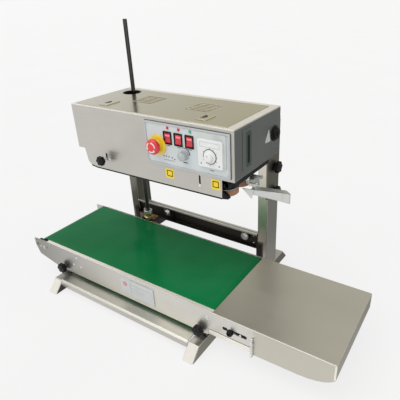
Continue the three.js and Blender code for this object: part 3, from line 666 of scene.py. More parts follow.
class Form:
    """A mesh being shaped in millimetres from one or more closed bodies."""

    def __init__(self) -> None:
        """Starts with nothing in it."""
        self.bm = bmesh.new()

    def _settle(self, verts: Iterable[Vert]) -> Verts:
        """Turns the faces round some vertices outwards.

        Args:
            verts: The vertices.

        Returns:
            Those that are still in the mesh.
        """
        kept = [v for v in verts if v.is_valid]
        faces = list({f for v in kept for f in v.link_faces})
        bmesh.ops.recalc_face_normals(self.bm, faces=faces)
        return kept

    def box(self, x: Point2, y: Point2, z: Point2, bevel: float = 0.0, segments: int = 2) -> Verts:
        """Adds a block.

        Args:
            x: Its two ends along X.
            y: Its two ends along Y.
            z: Its two ends along Z.
            bevel: The rounding of its edges.
            segments: The facets of that rounding.

        Returns:
            Its vertices.
        """
        size = [high - low for low, high in (x, y, z)]
        middle = Matrix.Translation([(low + high) / 2 for low, high in (x, y, z)])
        made = bmesh.ops.create_cube(self.bm, size=1.0, matrix=middle @ Matrix.Diagonal((*size, 1)))
        return self.soften(made["verts"], bevel, segments)

    def prism(self, axis: Axis, outline: Sequence[Point2], low: float, high: float, bevel: float = 0.0,
              segments: int = 2, holes: Sequence[Sequence[Point2]] = ()) -> Verts:
        """Adds an outline pushed out along an axis.

        Args:
            axis: The way it is pushed.
            outline: Its points across the axis, in X, Y, Z order.
            low: Where it starts along the axis.
            high: Where it ends.
            bevel: The rounding of its sharp edges.
            segments: The facets of that rounding.
            holes: Outlines that go right through it.

        Returns:
            Its vertices.
        """
        edges = []
        for loop in (outline, *holes):
            verts = [self.bm.verts.new(axis.point(a, b, low)) for a, b in loop]
            edges += [self.bm.edges.new((verts[i - 1], verts[i])) for i in range(len(verts))]
        if holes:
            made = bmesh.ops.triangle_fill(self.bm, use_beauty=True, use_dissolve=False,
                                           edges=edges)["geom"]
            faces = [g for g in made if isinstance(g, bmesh.types.BMFace)]
        else:
            faces = bmesh.ops.edgeloop_fill(self.bm, edges=edges)["faces"]
        pushed = bmesh.ops.extrude_face_region(self.bm, geom=faces)["geom"]
        moved = [g for g in pushed if isinstance(g, bmesh.types.BMVert)]
        bmesh.ops.translate(self.bm, verts=moved, vec=axis.way() * (high - low))
        base = {v for e in edges if e.is_valid for v in e.verts}
        return self.soften(self._settle(base | set(moved)), bevel, segments)

    def turned(self, axis: Axis, profile: Sequence[Point2], centre: Point2, steps: int = 40,
               bevel: float = 0.0) -> Verts:
        """Adds a turned body.

        Args:
            axis: The axis it is turned about.
            profile: Pairs of radius and place along the axis; a first and last radius of 0 close it.
            centre: Where the axis runs, across it.
            steps: Facets round it.
            bevel: The rounding of its sharp edges.

        Returns:
            Its vertices.
        """
        closed = profile[0] == profile[-1]
        spots = profile[:-1] if closed else profile
        verts = [self.bm.verts.new(axis.point(centre[0] + r, centre[1], t)) for r, t in spots]
        edges = [self.bm.edges.new(pair) for pair in zip(verts, verts[1:])]
        if closed:
            edges.append(self.bm.edges.new((verts[-1], verts[0])))
        before = set(self.bm.verts) - set(verts)
        bmesh.ops.spin(self.bm, geom=verts + edges, cent=axis.point(*centre, 0), axis=axis.way(),
                       angle=FULL_TURN, steps=steps, use_merge=True)
        made = [v for v in self.bm.verts if v not in before]
        bmesh.ops.remove_doubles(self.bm, verts=made, dist=DOUBLES)
        made = [v for v in self.bm.verts if v not in before]
        return self.soften(self._settle(made), bevel, 2)

    def soften(self, verts: Sequence[Vert], width: float, segments: int = 2,
               chosen: Callable[[bmesh.types.BMEdge], bool] | None = None) -> Verts:
        """Rounds the sharp edges of one body.

        Args:
            verts: The body's vertices.
            width: The bevel's width; 0 leaves it as it is.
            segments: The bevel's facets.
            chosen: Says which of the sharp edges to round.

        Returns:
            The body's vertices afterwards.
        """
        if width <= 0:
            return list(verts)
        own = set(verts)
        others = set(self.bm.verts) - own
        edges = {e for v in own for e in v.link_edges
                 if len(e.link_faces) == 2 and e.calc_face_angle(0.0) > SHARP
                 and (chosen is None or chosen(e))}
        bmesh.ops.bevel(self.bm, geom=list(edges), offset=width, offset_type="OFFSET", segments=segments,
                        profile=0.5, affect="EDGES", clamp_overlap=True, material=-1)
        return [v for v in self.bm.verts if v not in others]

    def move(self, verts: Iterable[Vert], matrix: Matrix) -> None:
        """Places some vertices with a matrix."""
        bmesh.ops.transform(self.bm, matrix=matrix, verts=list(verts))

    def drop(self, wanted: Callable[[bmesh.types.BMFace], bool]) -> None:
        """Takes away the faces that a test names."""
        gone = [f for f in self.bm.faces if wanted(f)]
        bmesh.ops.delete(self.bm, geom=gone, context="FACES")

    def cut(self, axis: Axis, *places: float) -> None:
        """Cuts all faces along planes across an axis, without taking any away."""
        for place in places:
            geom = [*self.bm.verts, *self.bm.edges, *self.bm.faces]
            bmesh.ops.bisect_plane(self.bm, geom=geom, dist=1e-5, plane_co=axis.way() * place,
                                   plane_no=axis.way())

    def finish(self, name: str, look: Finish, body: str, stands_for: Sequence[str] = (),
               wall: float = 0.0) -> None:
        """Makes the piece: mesh, material and body.

        Args:
            name: The piece's name.
            look: Its finish.
            body: The body it rides on.
            stands_for: CAD nodes that it replaces.
            wall: A sheet thickness given inwards to an open form.
        """
        bmesh.ops.scale(self.bm, vec=(MM, MM, MM), verts=self.bm.verts)
        for face in self.bm.faces:
            face.smooth = True
        for edge in self.bm.edges:
            if edge.calc_face_angle(0.0) > SHARP:
                edge.smooth = False
        mesh = bpy.data.meshes.new(name)
        self.bm.to_mesh(mesh)
        self.bm.free()
        mesh.materials.append(look.material())
        piece = bpy.data.objects.new(name, mesh)
        bpy.context.scene.collection.objects.link(piece)
        if wall:
            sheet = piece.modifiers.new("wall", "SOLIDIFY")
            sheet.thickness, sheet.offset, sheet.use_even_offset = wall * MM, -1.0, True
        even = piece.modifiers.new("even_shading", "WEIGHTED_NORMAL")
        even.weight, even.keep_sharp = 100, True
        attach(piece, body)
        if stands_for:
            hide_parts(*stands_for)
        log.info("%s: %d faces on %s", name, len(mesh.polygons), body)


def star_outline(lobes: int, radius: float, depth: float, steps: int = 60) -> list[Point2]:
    """A grip's outline with round lobes.

    Args:
        lobes: How many lobes it has.
        radius: Its radius over the lobes.
        depth: How deep the hollows between them are.
        steps: Its points.

    Returns:
        The outline's points, round 0, 0.
    """
    out = []
    for k in range(steps):
        angle = FULL_TURN * k / steps
        hollow = depth * (0.5 - 0.5 * math.cos(lobes * angle)) ** 1.4
        out.append(around((0, 0), radius - hollow, angle))
    return out


def facing(axis: Axis, sign: int, place: Sequence[float]) -> Matrix:
    """Turns a form that was built along +Z to face along an axis at a place."""
    way = axis.way() * sign
    return Matrix.Translation(Vector(place)) @ way.to_track_quat("Z", "Y").to_matrix().to_4x4()


@dataclass(frozen=True)
class Screw:
    """A fastener's head that stands on a surface.

    Attributes:
        place: Where its seat is, in millimetres.
        axis: The axis it points along.
        sign: Which way along it.
        radius: The head's radius.
        height: The head's height.
        sides: The head's facets; 6 for a hexagon.
        washer: The washer's radius, or 0.
        socket: The recess's radius, or 0.
    """

    place: Place
    axis: Axis = Axis.Y
    sign: int = -1
    radius: float = 3.6
    height: float = 2.2
    sides: int = 20
    washer: float = 0.0
    socket: float = 1.5

    def add_to(self, form: Form) -> None:
        """Adds the head, with its recess and washer.

        Args:
            form: The form it is added to.
        """
        r, h = self.radius, self.height
        lift = 1.0 if self.washer else 0.0
        profile: list[Point2] = [(0, -1.0), (r, -1.0), (r, h * 0.55), (r * 0.8, h * 0.9), (r * 0.55, h)]
        if self.sides == 6:
            profile = [(0, -1.0), (r, -1.0), (r, h * 0.85), (r * 0.9, h)]
        if self.socket:
            profile += [(self.socket, h), (self.socket, h * 0.4)]
        profile.append((0, h * 0.4 if self.socket else h))
        spots = form.turned(Axis.Z, [(a, b + lift) for a, b in profile], (0, 0), self.sides)
        if self.washer:
            spots += form.turned(Axis.Z, [(0, -1), (self.washer, -1), (self.washer, 0.8),
                                          (self.washer - 0.4, 1.2), (0, 1.2)], (0, 0), 28)
        form.move(spots, facing(self.axis, self.sign, self.place))


def fasteners(name: str, body: str, screws: Sequence[Screw], look: Finish = BRIGHT_STEEL) -> None:
    """Makes one piece of several fasteners.

    Args:
        name: The piece's name.
        body: The body it rides on.
        screws: The fasteners.
        look: Their finish.
    """
    form = Form()
    for screw in screws:
        screw.add_to(form)
    form.finish(name, look, body)


# ---------------------------------------------------------------- stand
@dataclass
class Stand:
    """Two feet, two posts and the beams between them."""

    foot_width: float = 34.0
    foot_height: float = 36.0
    toe: float = 284.0
    foot_edge: float = 2.2
    heel_top: float = 252.0
    post_front: float = 127.0
    post_back: float = 196.0
    post_top: float = 530.0
    beam_x: Point2 = (-362.7, 139.7)
    big_bolts: tuple[Point2, ...] = ((-227.5, 142.0), (94.0, 140.5))

    def build(self) -> None:
        """Builds every piece of the stand."""
        for end, x in zip(("left", "right"), POSTS_X):
            self.foot(end, x)
            self.post(end, x)
        self.front_beam()
        self.rear_beam()
        self.gussets()

    def foot(self, end: str, x: float) -> None:
        """A folded foot, open below, that slopes down at both ends.

        Args:
            end: Which of the two it is.
            x: Its middle.
        """
        half, height = self.foot_width / 2, self.foot_height
        form = Form()
        run = self.toe - self.heel_top
        near = self.toe - run * self.foot_edge / height
        foot = [(-near, self.foot_edge), (near, self.foot_edge), (self.heel_top, height),
                (-self.heel_top, height)]
        body = form.prism(Axis.X, foot, x - half, x + half)
        form.soften(body, 2.2, 3, lambda e: min(v.co.z for v in e.verts) > self.foot_edge + 1 or
                    abs(e.verts[0].co.z - e.verts[1].co.z) > 1)
        form.drop(lambda f: f.normal.z < -FACING)
        form.finish(f"foot_{end}_shell", STEEL_CROSS, "base", [f"foot_{end}"], wall=3.0)
        # A dark skin on the foot's +X side: painted shade, black on the left foot and olive on the right.
        side = Form()
        side.prism(Axis.X, [(-self.toe + 3, 1), (self.toe - 3, 1), (self.heel_top - 1, height - 2.4),
                            (-self.heel_top + 1, height - 2.4)], x + half - 0.2, x + half + 0.25)
        side.finish(f"foot_{end}_side", BLACK_STEEL if end == "left" else STEEL_OLIVE, "base")
        # Pale strips on both sloping ends of the foot: a painted highlight.
        toe = Form()
        for sign in (-1, 1):
            spots = toe.box((x - half + 1.5, x + half - 1.5), (-0.35, 0.3),
                            (0.3, math.hypot(run, height) - 2), 0.15, 1)
            toe.move(spots, Matrix.Translation((0, sign * self.toe, 0))
                     @ Matrix.Rotation(math.atan2(sign * run, height), 4, "X"))
        toe.finish(f"foot_{end}_toe", TOE_PAINTED_HIGHLIGHT, "base")
        pads = Form()
        for y in (-262, 262):
            pads.box((x - half + 3, x + half - 3), (y - 3, y + 3), (1.2, 20), 0.8)
        pads.finish(f"foot_{end}_webs", BLACK_STEEL, "base")

    def post(self, end: str, x: float) -> None:
        """A square post with rounded corners and a capped top.

        Args:
            end: Which of the two it is.
            x: Its middle.
        """
        half = self.foot_width / 2
        form = Form()
        outline = rectangle(x - half, x + half, self.post_front, self.post_back, 3.2)
        form.prism(Axis.Z, outline, self.foot_height + 0.3, self.post_top, 0.6)
        form.finish(f"post_{end}_tube", STEEL_POST_SIDE_SHADE, "base", [f"post_{end}"])
        # Thin skins on the posts' faces carry painted light and shade: a painted highlight on the right
        # post's front, painted shade on the left post's front and inner face.
        skin = Form()
        skin.box((x - half + 2.6, x + half - 2.6), (self.post_front - 0.15, self.post_front + 0.2),
                 (self.foot_height + 5, self.post_top - 2))
        skin.finish(f"post_{end}_front_face",
                    STEEL_LEFT_POST_FRONT_SHADE if end == "left" else STEEL_POST_FRONT_HIGHLIGHT, "base")
        if end == "left":
            side = Form()
            side.box((x + half - 0.2, x + half + 0.15), (self.post_front + 2.6, self.post_back - 2.6),
                     (self.foot_height + 5, self.post_top - 2))
            side.finish("post_left_inner_face", STEEL_LEFT_POST_SIDE_SHADE, "base")
        lip = Form()
        lip.prism(Axis.Z, rectangle(x - half - 0.9, x + half + 0.9, self.post_front - 0.9,
                                    self.post_back + 0.9, 3.6),
                  self.foot_height + 0.4, self.foot_height + 4.5, 0.8)
        lip.finish(f"post_{end}_weld_foot", STEEL_CROSS, "base")

    def front_beam(self) -> None:
        """The folded beam that ties the feet in front of the conveyor."""
        form = Form()
        outline = rounded([(-258, 20), (-255, 20), (-255, 34), (-250, 38), (-190, 38),
                           (-190, 16), (-187, 16), (-187, 41), (-252, 41), (-258, 36)],
                          [0, 0, 2, 2, 0.6, 0, 0, 3, 4, 2], 4)
        form.prism(Axis.X, outline, *self.beam_x, 0.35, 1)
        form.finish("base_front_beam_folded", STEEL_SHEET, "base", ["base_front_beam"])

    def rear_beam(self) -> None:
        """The black channel between the posts, with a bright folded cap along its top."""
        form = Form()
        outline = rounded([(124, 154), (124, 161), (141, 161), (141, 108), (124, 108),
                           (124, 111), (138, 111), (138, 158), (127, 158), (127, 154)],
                          [0.5, 2, 2, 2, 0.5, 0.5, 0.8, 0.8, 0.5, 0.5], 3)
        form.prism(Axis.X, outline, *self.beam_x, 0.3, 1)
        form.finish("rear_beam_channel", BLACK_STEEL, "base", ["rear_beam"])
        cap = Form()
        cap.prism(Axis.X, rounded([(122.8, 157), (122.8, 162.4), (142.2, 162.4), (142.2, 161.2),
                                   (124.1, 161.2), (124.1, 157)], [0.3, 1.4, 0.4, 0.3, 0.3, 0.3], 3),
                  *self.beam_x, 0.25, 1)
        cap.finish("rear_beam_cap", STEEL_FRAME_LIT_SHADED, "base")
        rib = Form()
        rib.box((self.beam_x[0] + 2, self.beam_x[1] - 2), (131.5, 132.9), (162.2, 162.9), 0.2)
        rib.finish("rear_beam_seam", BLACK_STEEL, "base")

    def gussets(self) -> None:
        """The bolted plates at the beam's ends, and dark blocks in front of the posts that are painted
        shade.
        """
        plates = Form()
        for x0, x1 in ((-362, -206), (72, 139)):
            plates.prism(Axis.Y, rounded([(x0, 111), (x1, 111), (x1, 157.5), (x0, 157.5)], 5),
                         134, 138.2, 0.5)
        for x, z in self.big_bolts:
            plates.turned(Axis.Y, [(0, 126), (14, 126), (16, 127.2), (16, 137), (0, 137)], (x, z), 30)
        # Dark blocks in front of the posts' inner halves: painted shade at the posts' feet.
        for x in POSTS_X:
            side = 1 if x < 0 else -1
            x0, x1 = sorted((x, x + side * 17))
            plates.box((x0 - 0.5, x1 + 0.5), (self.post_front - 7, self.post_front - 0.4), (40, 131), 1.0)
        plates.finish("beam_gussets", BLACK_STEEL, "base")
        bolts = [Screw((x, 126, z), radius=7.6, height=6.5, sides=6, washer=13, socket=0)
                 for x, z in self.big_bolts]
        bolts += [Screw((x, 134, z), radius=3, height=2)
                  for x, z in ((-346, 122), (-346, 148), (124, 122), (124, 148))]
        fasteners("beam_bolts", "base", bolts)


# ---------------------------------------------------------------- conveyor
@dataclass
class Conveyor:
    """The belt on its frame, the extension table and the drive below the shaft."""

    front: float = -218.0
    rear: float = 58.0
    plate: float = 2.5
    left: float = -517.5
    right: float = 313.0
    low: float = 53.0
    belt_top: float = 134.0
    belt_y: Point2 = (-205.2, 53.0)
    roller_x: Point2 = (-472.3, 178.5)
    roller_radius: float = 23.7
    table_x: Point2 = (197.0, 517.5)
    knob_z: float = 66.0

    @property
    def roller_z(self) -> float:
        """The height of the rollers' axes."""
        return self.belt_top - 2.5 - self.roller_radius

    def build(self) -> None:
        """Builds every piece of the conveyor."""
        self.side_plates()
        self.belt()
        self.rollers()
        self.table()
        self.rail()
        self.knobs()
        self.nameplate()
        self.hardware()
        self.drive_bracket()

    def plate_outline(self) -> list[Point2]:
        """The side plates' outline in X and Z.

        Returns:
            The outline's points.
        """
        left, right, low = self.left, self.right, self.low
        corners = [(left, 131), (left, 104), (left + 14, 74), (-430, 57), (-404, low),
                   (181, low), (181, 74),
                   (right, 74), (right, 131.6), (self.table_x[0] - 0.3, 131.6),
                   (self.table_x[0] - 0.3, self.belt_top), (-455, self.belt_top)]
        return rounded(corners, [2, 22, 10, 16, 12, 3, 0.5, 2, 1, 0, 0, 1], 5)

    def side_plates(self) -> None:
        """The two side plates with the flanges folded in along the belt."""
        axle_holes = [ring(x, self.roller_z, 5.2, 20) for x in self.roller_x]
        knob_holes = [ring(x, self.knob_z, 4.4, 16) for x in POSTS_X]
        slot = slot_outline(226, 296, 99, 5.2)
        small = [ring(x, z, 2.0, 12) for x, z in ((-497, 110), (-457, 110))]
        form = Form()
        form.prism(Axis.Y, self.plate_outline(), self.front, self.front + self.plate, 0.5,
                   holes=[*axle_holes, *knob_holes, slot, *small])
        form.finish("frame_plate_front_folded", STEEL_FRAME_LIT_SHADED, "base", ["frame_plate_front"])
        # The flange along the belt is painted near white: a painted highlight along the plate's top edge.
        flange = Form()
        flange.box((-455, self.table_x[0] - 0.4), (self.front + 0.4, -205.8),
                   (131.9, self.belt_top + 0.2), 0.5)
        flange.finish("frame_plate_front_flange", STEEL_HIGHLIGHT_STRIP, "base")
        window = rectangle(SHAFT[0] - 19, SHAFT[0] + 19, 86, 125, 3)
        form = Form()
        form.prism(Axis.Y, self.plate_outline(), self.rear - self.plate, self.rear, 0.5,
                   holes=[*axle_holes, window])
        form.box((-455, self.table_x[0] - 0.4), (53.6, self.rear - 0.4), (131.9, self.belt_top), 0.5)
        form.finish("frame_plate_rear_folded", STEEL_SHEET, "base", ["frame_plate_rear"])
        trim = Form()
        trim.box((-497, -456), (-214.9, -206.2), (118, 130.8), 0.8)
        trim.finish("belt_end_wiper", BLACK_PLASTIC, "base")

    def belt(self) -> None:
        """The endless belt, with round ends and soft edges."""
        outer, inner = (stadium(self.roller_x, self.roller_z, self.roller_radius + more, 24)
                        for more in (2.5, 0.3))
        form = Form()
        form.prism(Axis.Y, outer, *self.belt_y, 0.7, 2, holes=[inner])
        form.finish("belt_cover", BELT_GREEN, "base", ["conveyor_belt"])

    def rollers(self) -> None:
        """The two rollers with their axles."""
        r = self.roller_radius
        for name, x, rear in (("drive_roller", self.roller_x[0], 33),
                              ("tail_roller", self.roller_x[1], 51)):
            form = Form()
            form.turned(Axis.Y, [(0, self.front + 0.4), (4.4, self.front + 0.4),
                                 (5, self.front + 1), (5, -203),
                                 (r - 1.5, -203), (r, -201.5), (r, rear - 1.5), (r - 1.5, rear), (5, rear),
                                 (5, self.rear - 0.9), (4.4, self.rear - 0.4), (0, self.rear - 0.4)],
                        (x, self.roller_z), 48)
            if name == "drive_roller":
                form.turned(Axis.Y, [(0, 37.5), (8, 37.5), (11.5, 38.6), (11.5, 41.4),
                                     (8, 42.5), (0, 42.5)],
                            (x, self.roller_z), 30)
            form.finish(f"{name}_turned", BRIGHT_STEEL, name, [name])

    def table(self) -> None:
        """The folded extension table that carries the bags away."""
        left, right = self.table_x
        skirt = self.right + 0.3
        outline = [(left, 134), (left, 132), (skirt, 132), (skirt, 54), (430, 57)]
        outline += [(430 + 62 * t * (2 - 2 * t) + 87.5 * t * t,
                     57 * (1 - t) ** 2 + 60 * 2 * t * (1 - t) + 88.5 * t * t)
                    for t in (0.2, 0.4, 0.6, 0.8)]
        outline += [(right, 88.5), (right, 134)]
        form = Form()
        body = form.prism(Axis.Y, outline, self.front, self.rear)
        form.soften(body, 2.6, 3, lambda e: min(v.co.z for v in e.verts) > 133.9
                    and max(v.co.x for v in e.verts) > left + 1
                    or min(v.co.x for v in e.verts) > right - 0.1
                    and abs(e.verts[0].co.z - e.verts[1].co.z) > 9)
        form.drop(lambda f: f.normal.z < -0.2 or f.normal.x < -FACING)
        form.finish("extension_table_folded", STEEL_TOP, "base", ["extension_table"], wall=1.6)
        # A dark skin on the table's right end face: painted shade.
        end = Form()
        end.prism(Axis.X, rectangle(self.front + 3, self.rear - 3, 90, 131, 1.5), right - 0.3,
                  right + 0.3, 0.15, 1)
        end.finish("extension_table_end", STEEL_TABLE_END_SHADE, "base")
        # Bright strips along the table's front top edge and its right corner: painted highlights.
        edges = Form()
        edges.box((left + 1, right - 3), (self.front - 0.15, self.front + 1.6), (132.6, 134.15), 0.3, 1)
        edges.box((right - 4.4, right - 0.4), (self.front - 0.15, self.front + 0.6), (90, 131.5), 0.2, 1)
        edges.finish("extension_table_edges", STEEL_HIGHLIGHT_STRIP, "base")
        tongues = Form()
        for y0, y1 in ((self.front + 6.5, self.front + 8.5), (self.rear - 8.5, self.rear - 6.5)):
            tongues.box((212, 400), (y0, y1), (84, 132), 0.6)
        tongues.finish("extension_table_tongues", STEEL_SHEET, "base")

    def rail(self) -> None:
        """The square tube under the table's edge, painted near white as a highlight, with black strips of
        painted shadow and the clamp at its end.
        """
        form = Form()
        form.prism(Axis.X, rounded([(self.front, 55), (self.front + 12, 55), (self.front + 12, 73.7),
                                    (self.front, 73.7)],
                                   [5.5, 3, 3, 5.5], 6), 182, self.right - 3, 0.5)
        form.finish("table_rail_tube", STEEL_HIGHLIGHT_STRIP, "base", ["table_rail"])
        # Black strips of painted shade: a shadow line above the rail, and the dark behind the table's slot
        # in the front plate.
        shadow_strips = Form()
        shadow_strips.box((184, self.right - 6), (self.front - 0.3, self.front + 0.2), (74.2, 75.4))
        shadow_strips.box((218, 304), (self.front + self.plate + 0.1, self.front + self.plate + 1.2), (90, 108))
        shadow_strips.finish("table_painted_shadows", BLACK_PLASTIC, "base")
        clamp = Form()
        clamp.box((309.5, 313.2), (self.front - 3.6, self.front + 0.2), (58, 104), 1.0)
        clamp.turned(Axis.Z, [(0, 50), (2.6, 50), (3, 51), (3, 108), (2.6, 109), (0, 109)],
                     (311.4, self.front - 4.6), 16)
        clamp.turned(Axis.Z, [(0, 54), (4.8, 54), (4.8, 57.5), (0, 57.5)], (311.4, self.front - 4.6), 6)
        clamp.turned(Axis.Z, [(0, 92), (4.8, 92), (4.8, 95.5), (0, 95.5)], (311.4, self.front - 4.6), 6)
        clamp.finish("table_tension_clamp", BRIGHT_STEEL, "base")

    def knobs(self) -> None:
        """The two star knobs that clamp the conveyor at its height."""
        for end, x in zip(("left", "right"), POSTS_X):
            name = f"conveyor_knob_{end}"
            star_knob(name, Axis.Y, -1, (x, self.front - 6, self.knob_z), 16, 14, 16)

    def nameplate(self) -> None:
        """A blank rating plate with a rim, plain rules and a red spot."""
        y = self.front
        plate = Form()
        plate.prism(Axis.Y, rectangle(-124, 2, 64.5, 124.5, 3), y - 0.7, y - 0.05, 0.3, 1)
        plate.finish("rating_plate", PLATE_FILM, "base")
        rules = Form()
        rules.prism(Axis.Y, rounded([(-85, 64.2), (2.2, 64.2), (2.2, 124.6), (-85, 124.6)], 3), y - 0.95,
                    y - 0.6, 0.1, 1, holes=[rounded([(-86, 65.2), (0.9, 65.2), (0.9, 123.6),
                                                     (-86, 123.6)], 2.6)])
        rules.box((-86, -16), (y - 0.95, y - 0.6), (107, 109.6))
        for x0, x1, z in ((-80, -24, 98), (-80, -30, 91), (-80, -36, 84)):
            rules.box((x0, x1), (y - 0.85, y - 0.6), (z, z + 0.7))
        rules.finish("rating_plate_rules", GREY_PLASTIC, "base")
        spot = Form()
        spot.turned(Axis.Y, [(4.4, y - 1), (7, y - 1), (7.3, y - 0.6), (4.4, y - 0.6), (4.4, y - 1)],
                    (-107, 104), 24)
        spot.turned(Axis.Y, [(0, y - 1), (2, y - 1), (2.2, y - 0.6), (0, y - 0.6)], (-107, 104), 16)
        spot.finish("rating_plate_spot", RED_PLASTIC, "base")

    def hardware(self) -> None:
        """The screws and axle ends on the front plate, and the table's adjusting screw."""
        y = self.front
        # White domes on four screw heads: painted highlights for the heads' glints.
        glint_domes = [Screw((x, y, z), radius=2.7, height=1.8, socket=0)
                for x, z in ((-313, 119), (-331, 90), (-298, 90), (-490, 108))]
        fasteners("conveyor_screw_glints", "base", glint_domes, WHITE_PLASTIC)
        # Two black discs at the belt's left end: painted shade standing for holes.
        holes = [Screw((x, y, z), radius=3.2, height=0.7, socket=0) for x, z in ((-506, 112), (-478, 106))]
        fasteners("conveyor_end_hole_shades", "base", holes, BLACK_PLASTIC)
        screws = [Screw((x, y, z), radius=2.6, height=1.6, socket=0) for x, z in
                  ((226, 123), (302, 127), (-3, 120), (-3, 69))]
        screws += [Screw((x, y, self.roller_z), radius=5.8, height=2.6, socket=2.2) for x in self.roller_x]
        screws += [Screw((-514, y, 125), radius=3.6, height=3, socket=0),
                   Screw((278, y, 99), radius=3.4, height=2.2)]
        screws += [Screw((x, y, 128), radius=2.2, height=1.2, socket=0) for x in (-440, 20)]
        fasteners("conveyor_screws", "base", screws)
        fasteners("table_adjusting_screw", "base",
                  [Screw((250, y, 96), radius=9, height=11, sides=8, socket=3.6),
                   Screw((264, y, 100), radius=3.4, height=3)], BLACK_PLASTIC)
        fasteners("table_slot_washers", "base", [Screw((246, y, 104), radius=5.5, height=1.4, socket=0),
                                                 Screw((262, y, 97), radius=5, height=2.2, socket=0)])
        rear = [Screw((x, self.rear, z), sign=1, radius=3.4, height=2) for x, z in
                ((-470, 108), (-350, 70), (-120, 70), (130, 70), (178, 108), (-300, 118), (-222, 118))]
        fasteners("conveyor_rear_screws", "base", rear)

    def drive_bracket(self) -> None:
        """The bracket that carries the shaft's foot bearing behind the conveyor."""
        x, y = SHAFT
        form = Form()
        body = form.box((x - 26, x + 26), (self.rear + 0.3, y + 26), (80, 141))
        form.soften(body, 2.5, 3, lambda e: max(v.co.y for v in e.verts) > y)
        form.cut(Axis.X, x - 12, x + 12)
        form.cut(Axis.Y, y + 12)
        form.drop(lambda f: f.normal.z < -FACING or f.normal.y < -FACING or (
            f.normal.z > FACING and abs(f.calc_center_median().x - x) < 12
            and f.calc_center_median().y < y + 12))
        form.finish("shaft_bracket_folded", BLACK_STEEL, "base", ["shaft_bracket"], wall=3.0)
        hub = Form()
        hub.turned(Axis.Z, [(7.2, 160.6), (13, 160.6), (14, 161.6), (14, 171), (13, 172), (7.2, 172),
                            (7.2, 160.6)],
                   SHAFT, 36)
        hub.finish("shaft_hub", ALUMINIUM, "drive_shaft")
        patch = Form()
        patch.box((x - 36, x + 26), (y - 6, y + 22), (141.2, 143.6), 0.8)
        patch.box((x + 15.5, x + 25), (y - 6, y + 10), (143.2, 152), 1.2)
        patch.box((x + 14, x + 40), (self.rear + 0.6, y - 4), (128, 134.5), 1.0)
        patch.finish("shaft_bracket_oiler", WORN_BRASS, "base")


def star_knob(name: str, axis: Axis, sign: int, place: Place, radius: float, length: float,
              stud: float, stud_radius: float = 4.0) -> None:
    """Makes a star knob with round lobes, a cap and a plated stud.

    Args:
        name: The CAD node it stands for, which is also its body.
        axis: The axis it turns about.
        sign: The way its face points.
        place: The foot of its grip.
        radius: The grip's radius.
        length: The grip's length.
        stud: How far its stud reaches back past the boss.
        stud_radius: The stud's radius.
    """
    form = Form()
    grip = form.prism(Axis.Z, star_outline(6, radius, radius * 0.17), 0, length)
    grip = form.soften(grip, 2.2, 4)
    grip += form.turned(Axis.Z, [(0, -3), (radius * 0.55, -3), (radius * 0.62, -1), (radius * 0.62, 1),
                                 (0, 1)], (0, 0))
    grip += form.turned(Axis.Z, [(0, length - 1), (radius * 0.5, length - 1), (radius * 0.5, length - 0.05),
                                 (radius * 0.3, length + 0.9), (0, length + 1.2)], (0, 0))
    form.move(grip, facing(axis, sign, place))
    form.finish(f"{name}_grip", BLACK_PLASTIC, name, [name])
    rod = Form()
    spots = rod.turned(Axis.Z, [(0, -3 - stud), (stud_radius - 0.6, -3 - stud), (stud_radius, -2.4 - stud),
                                (stud_radius, -2.8), (0, -2.8)], (0, 0), 20)
    rod.move(spots, facing(axis, sign, place))
    rod.finish(f"{name}_stud", BRIGHT_STEEL, name)


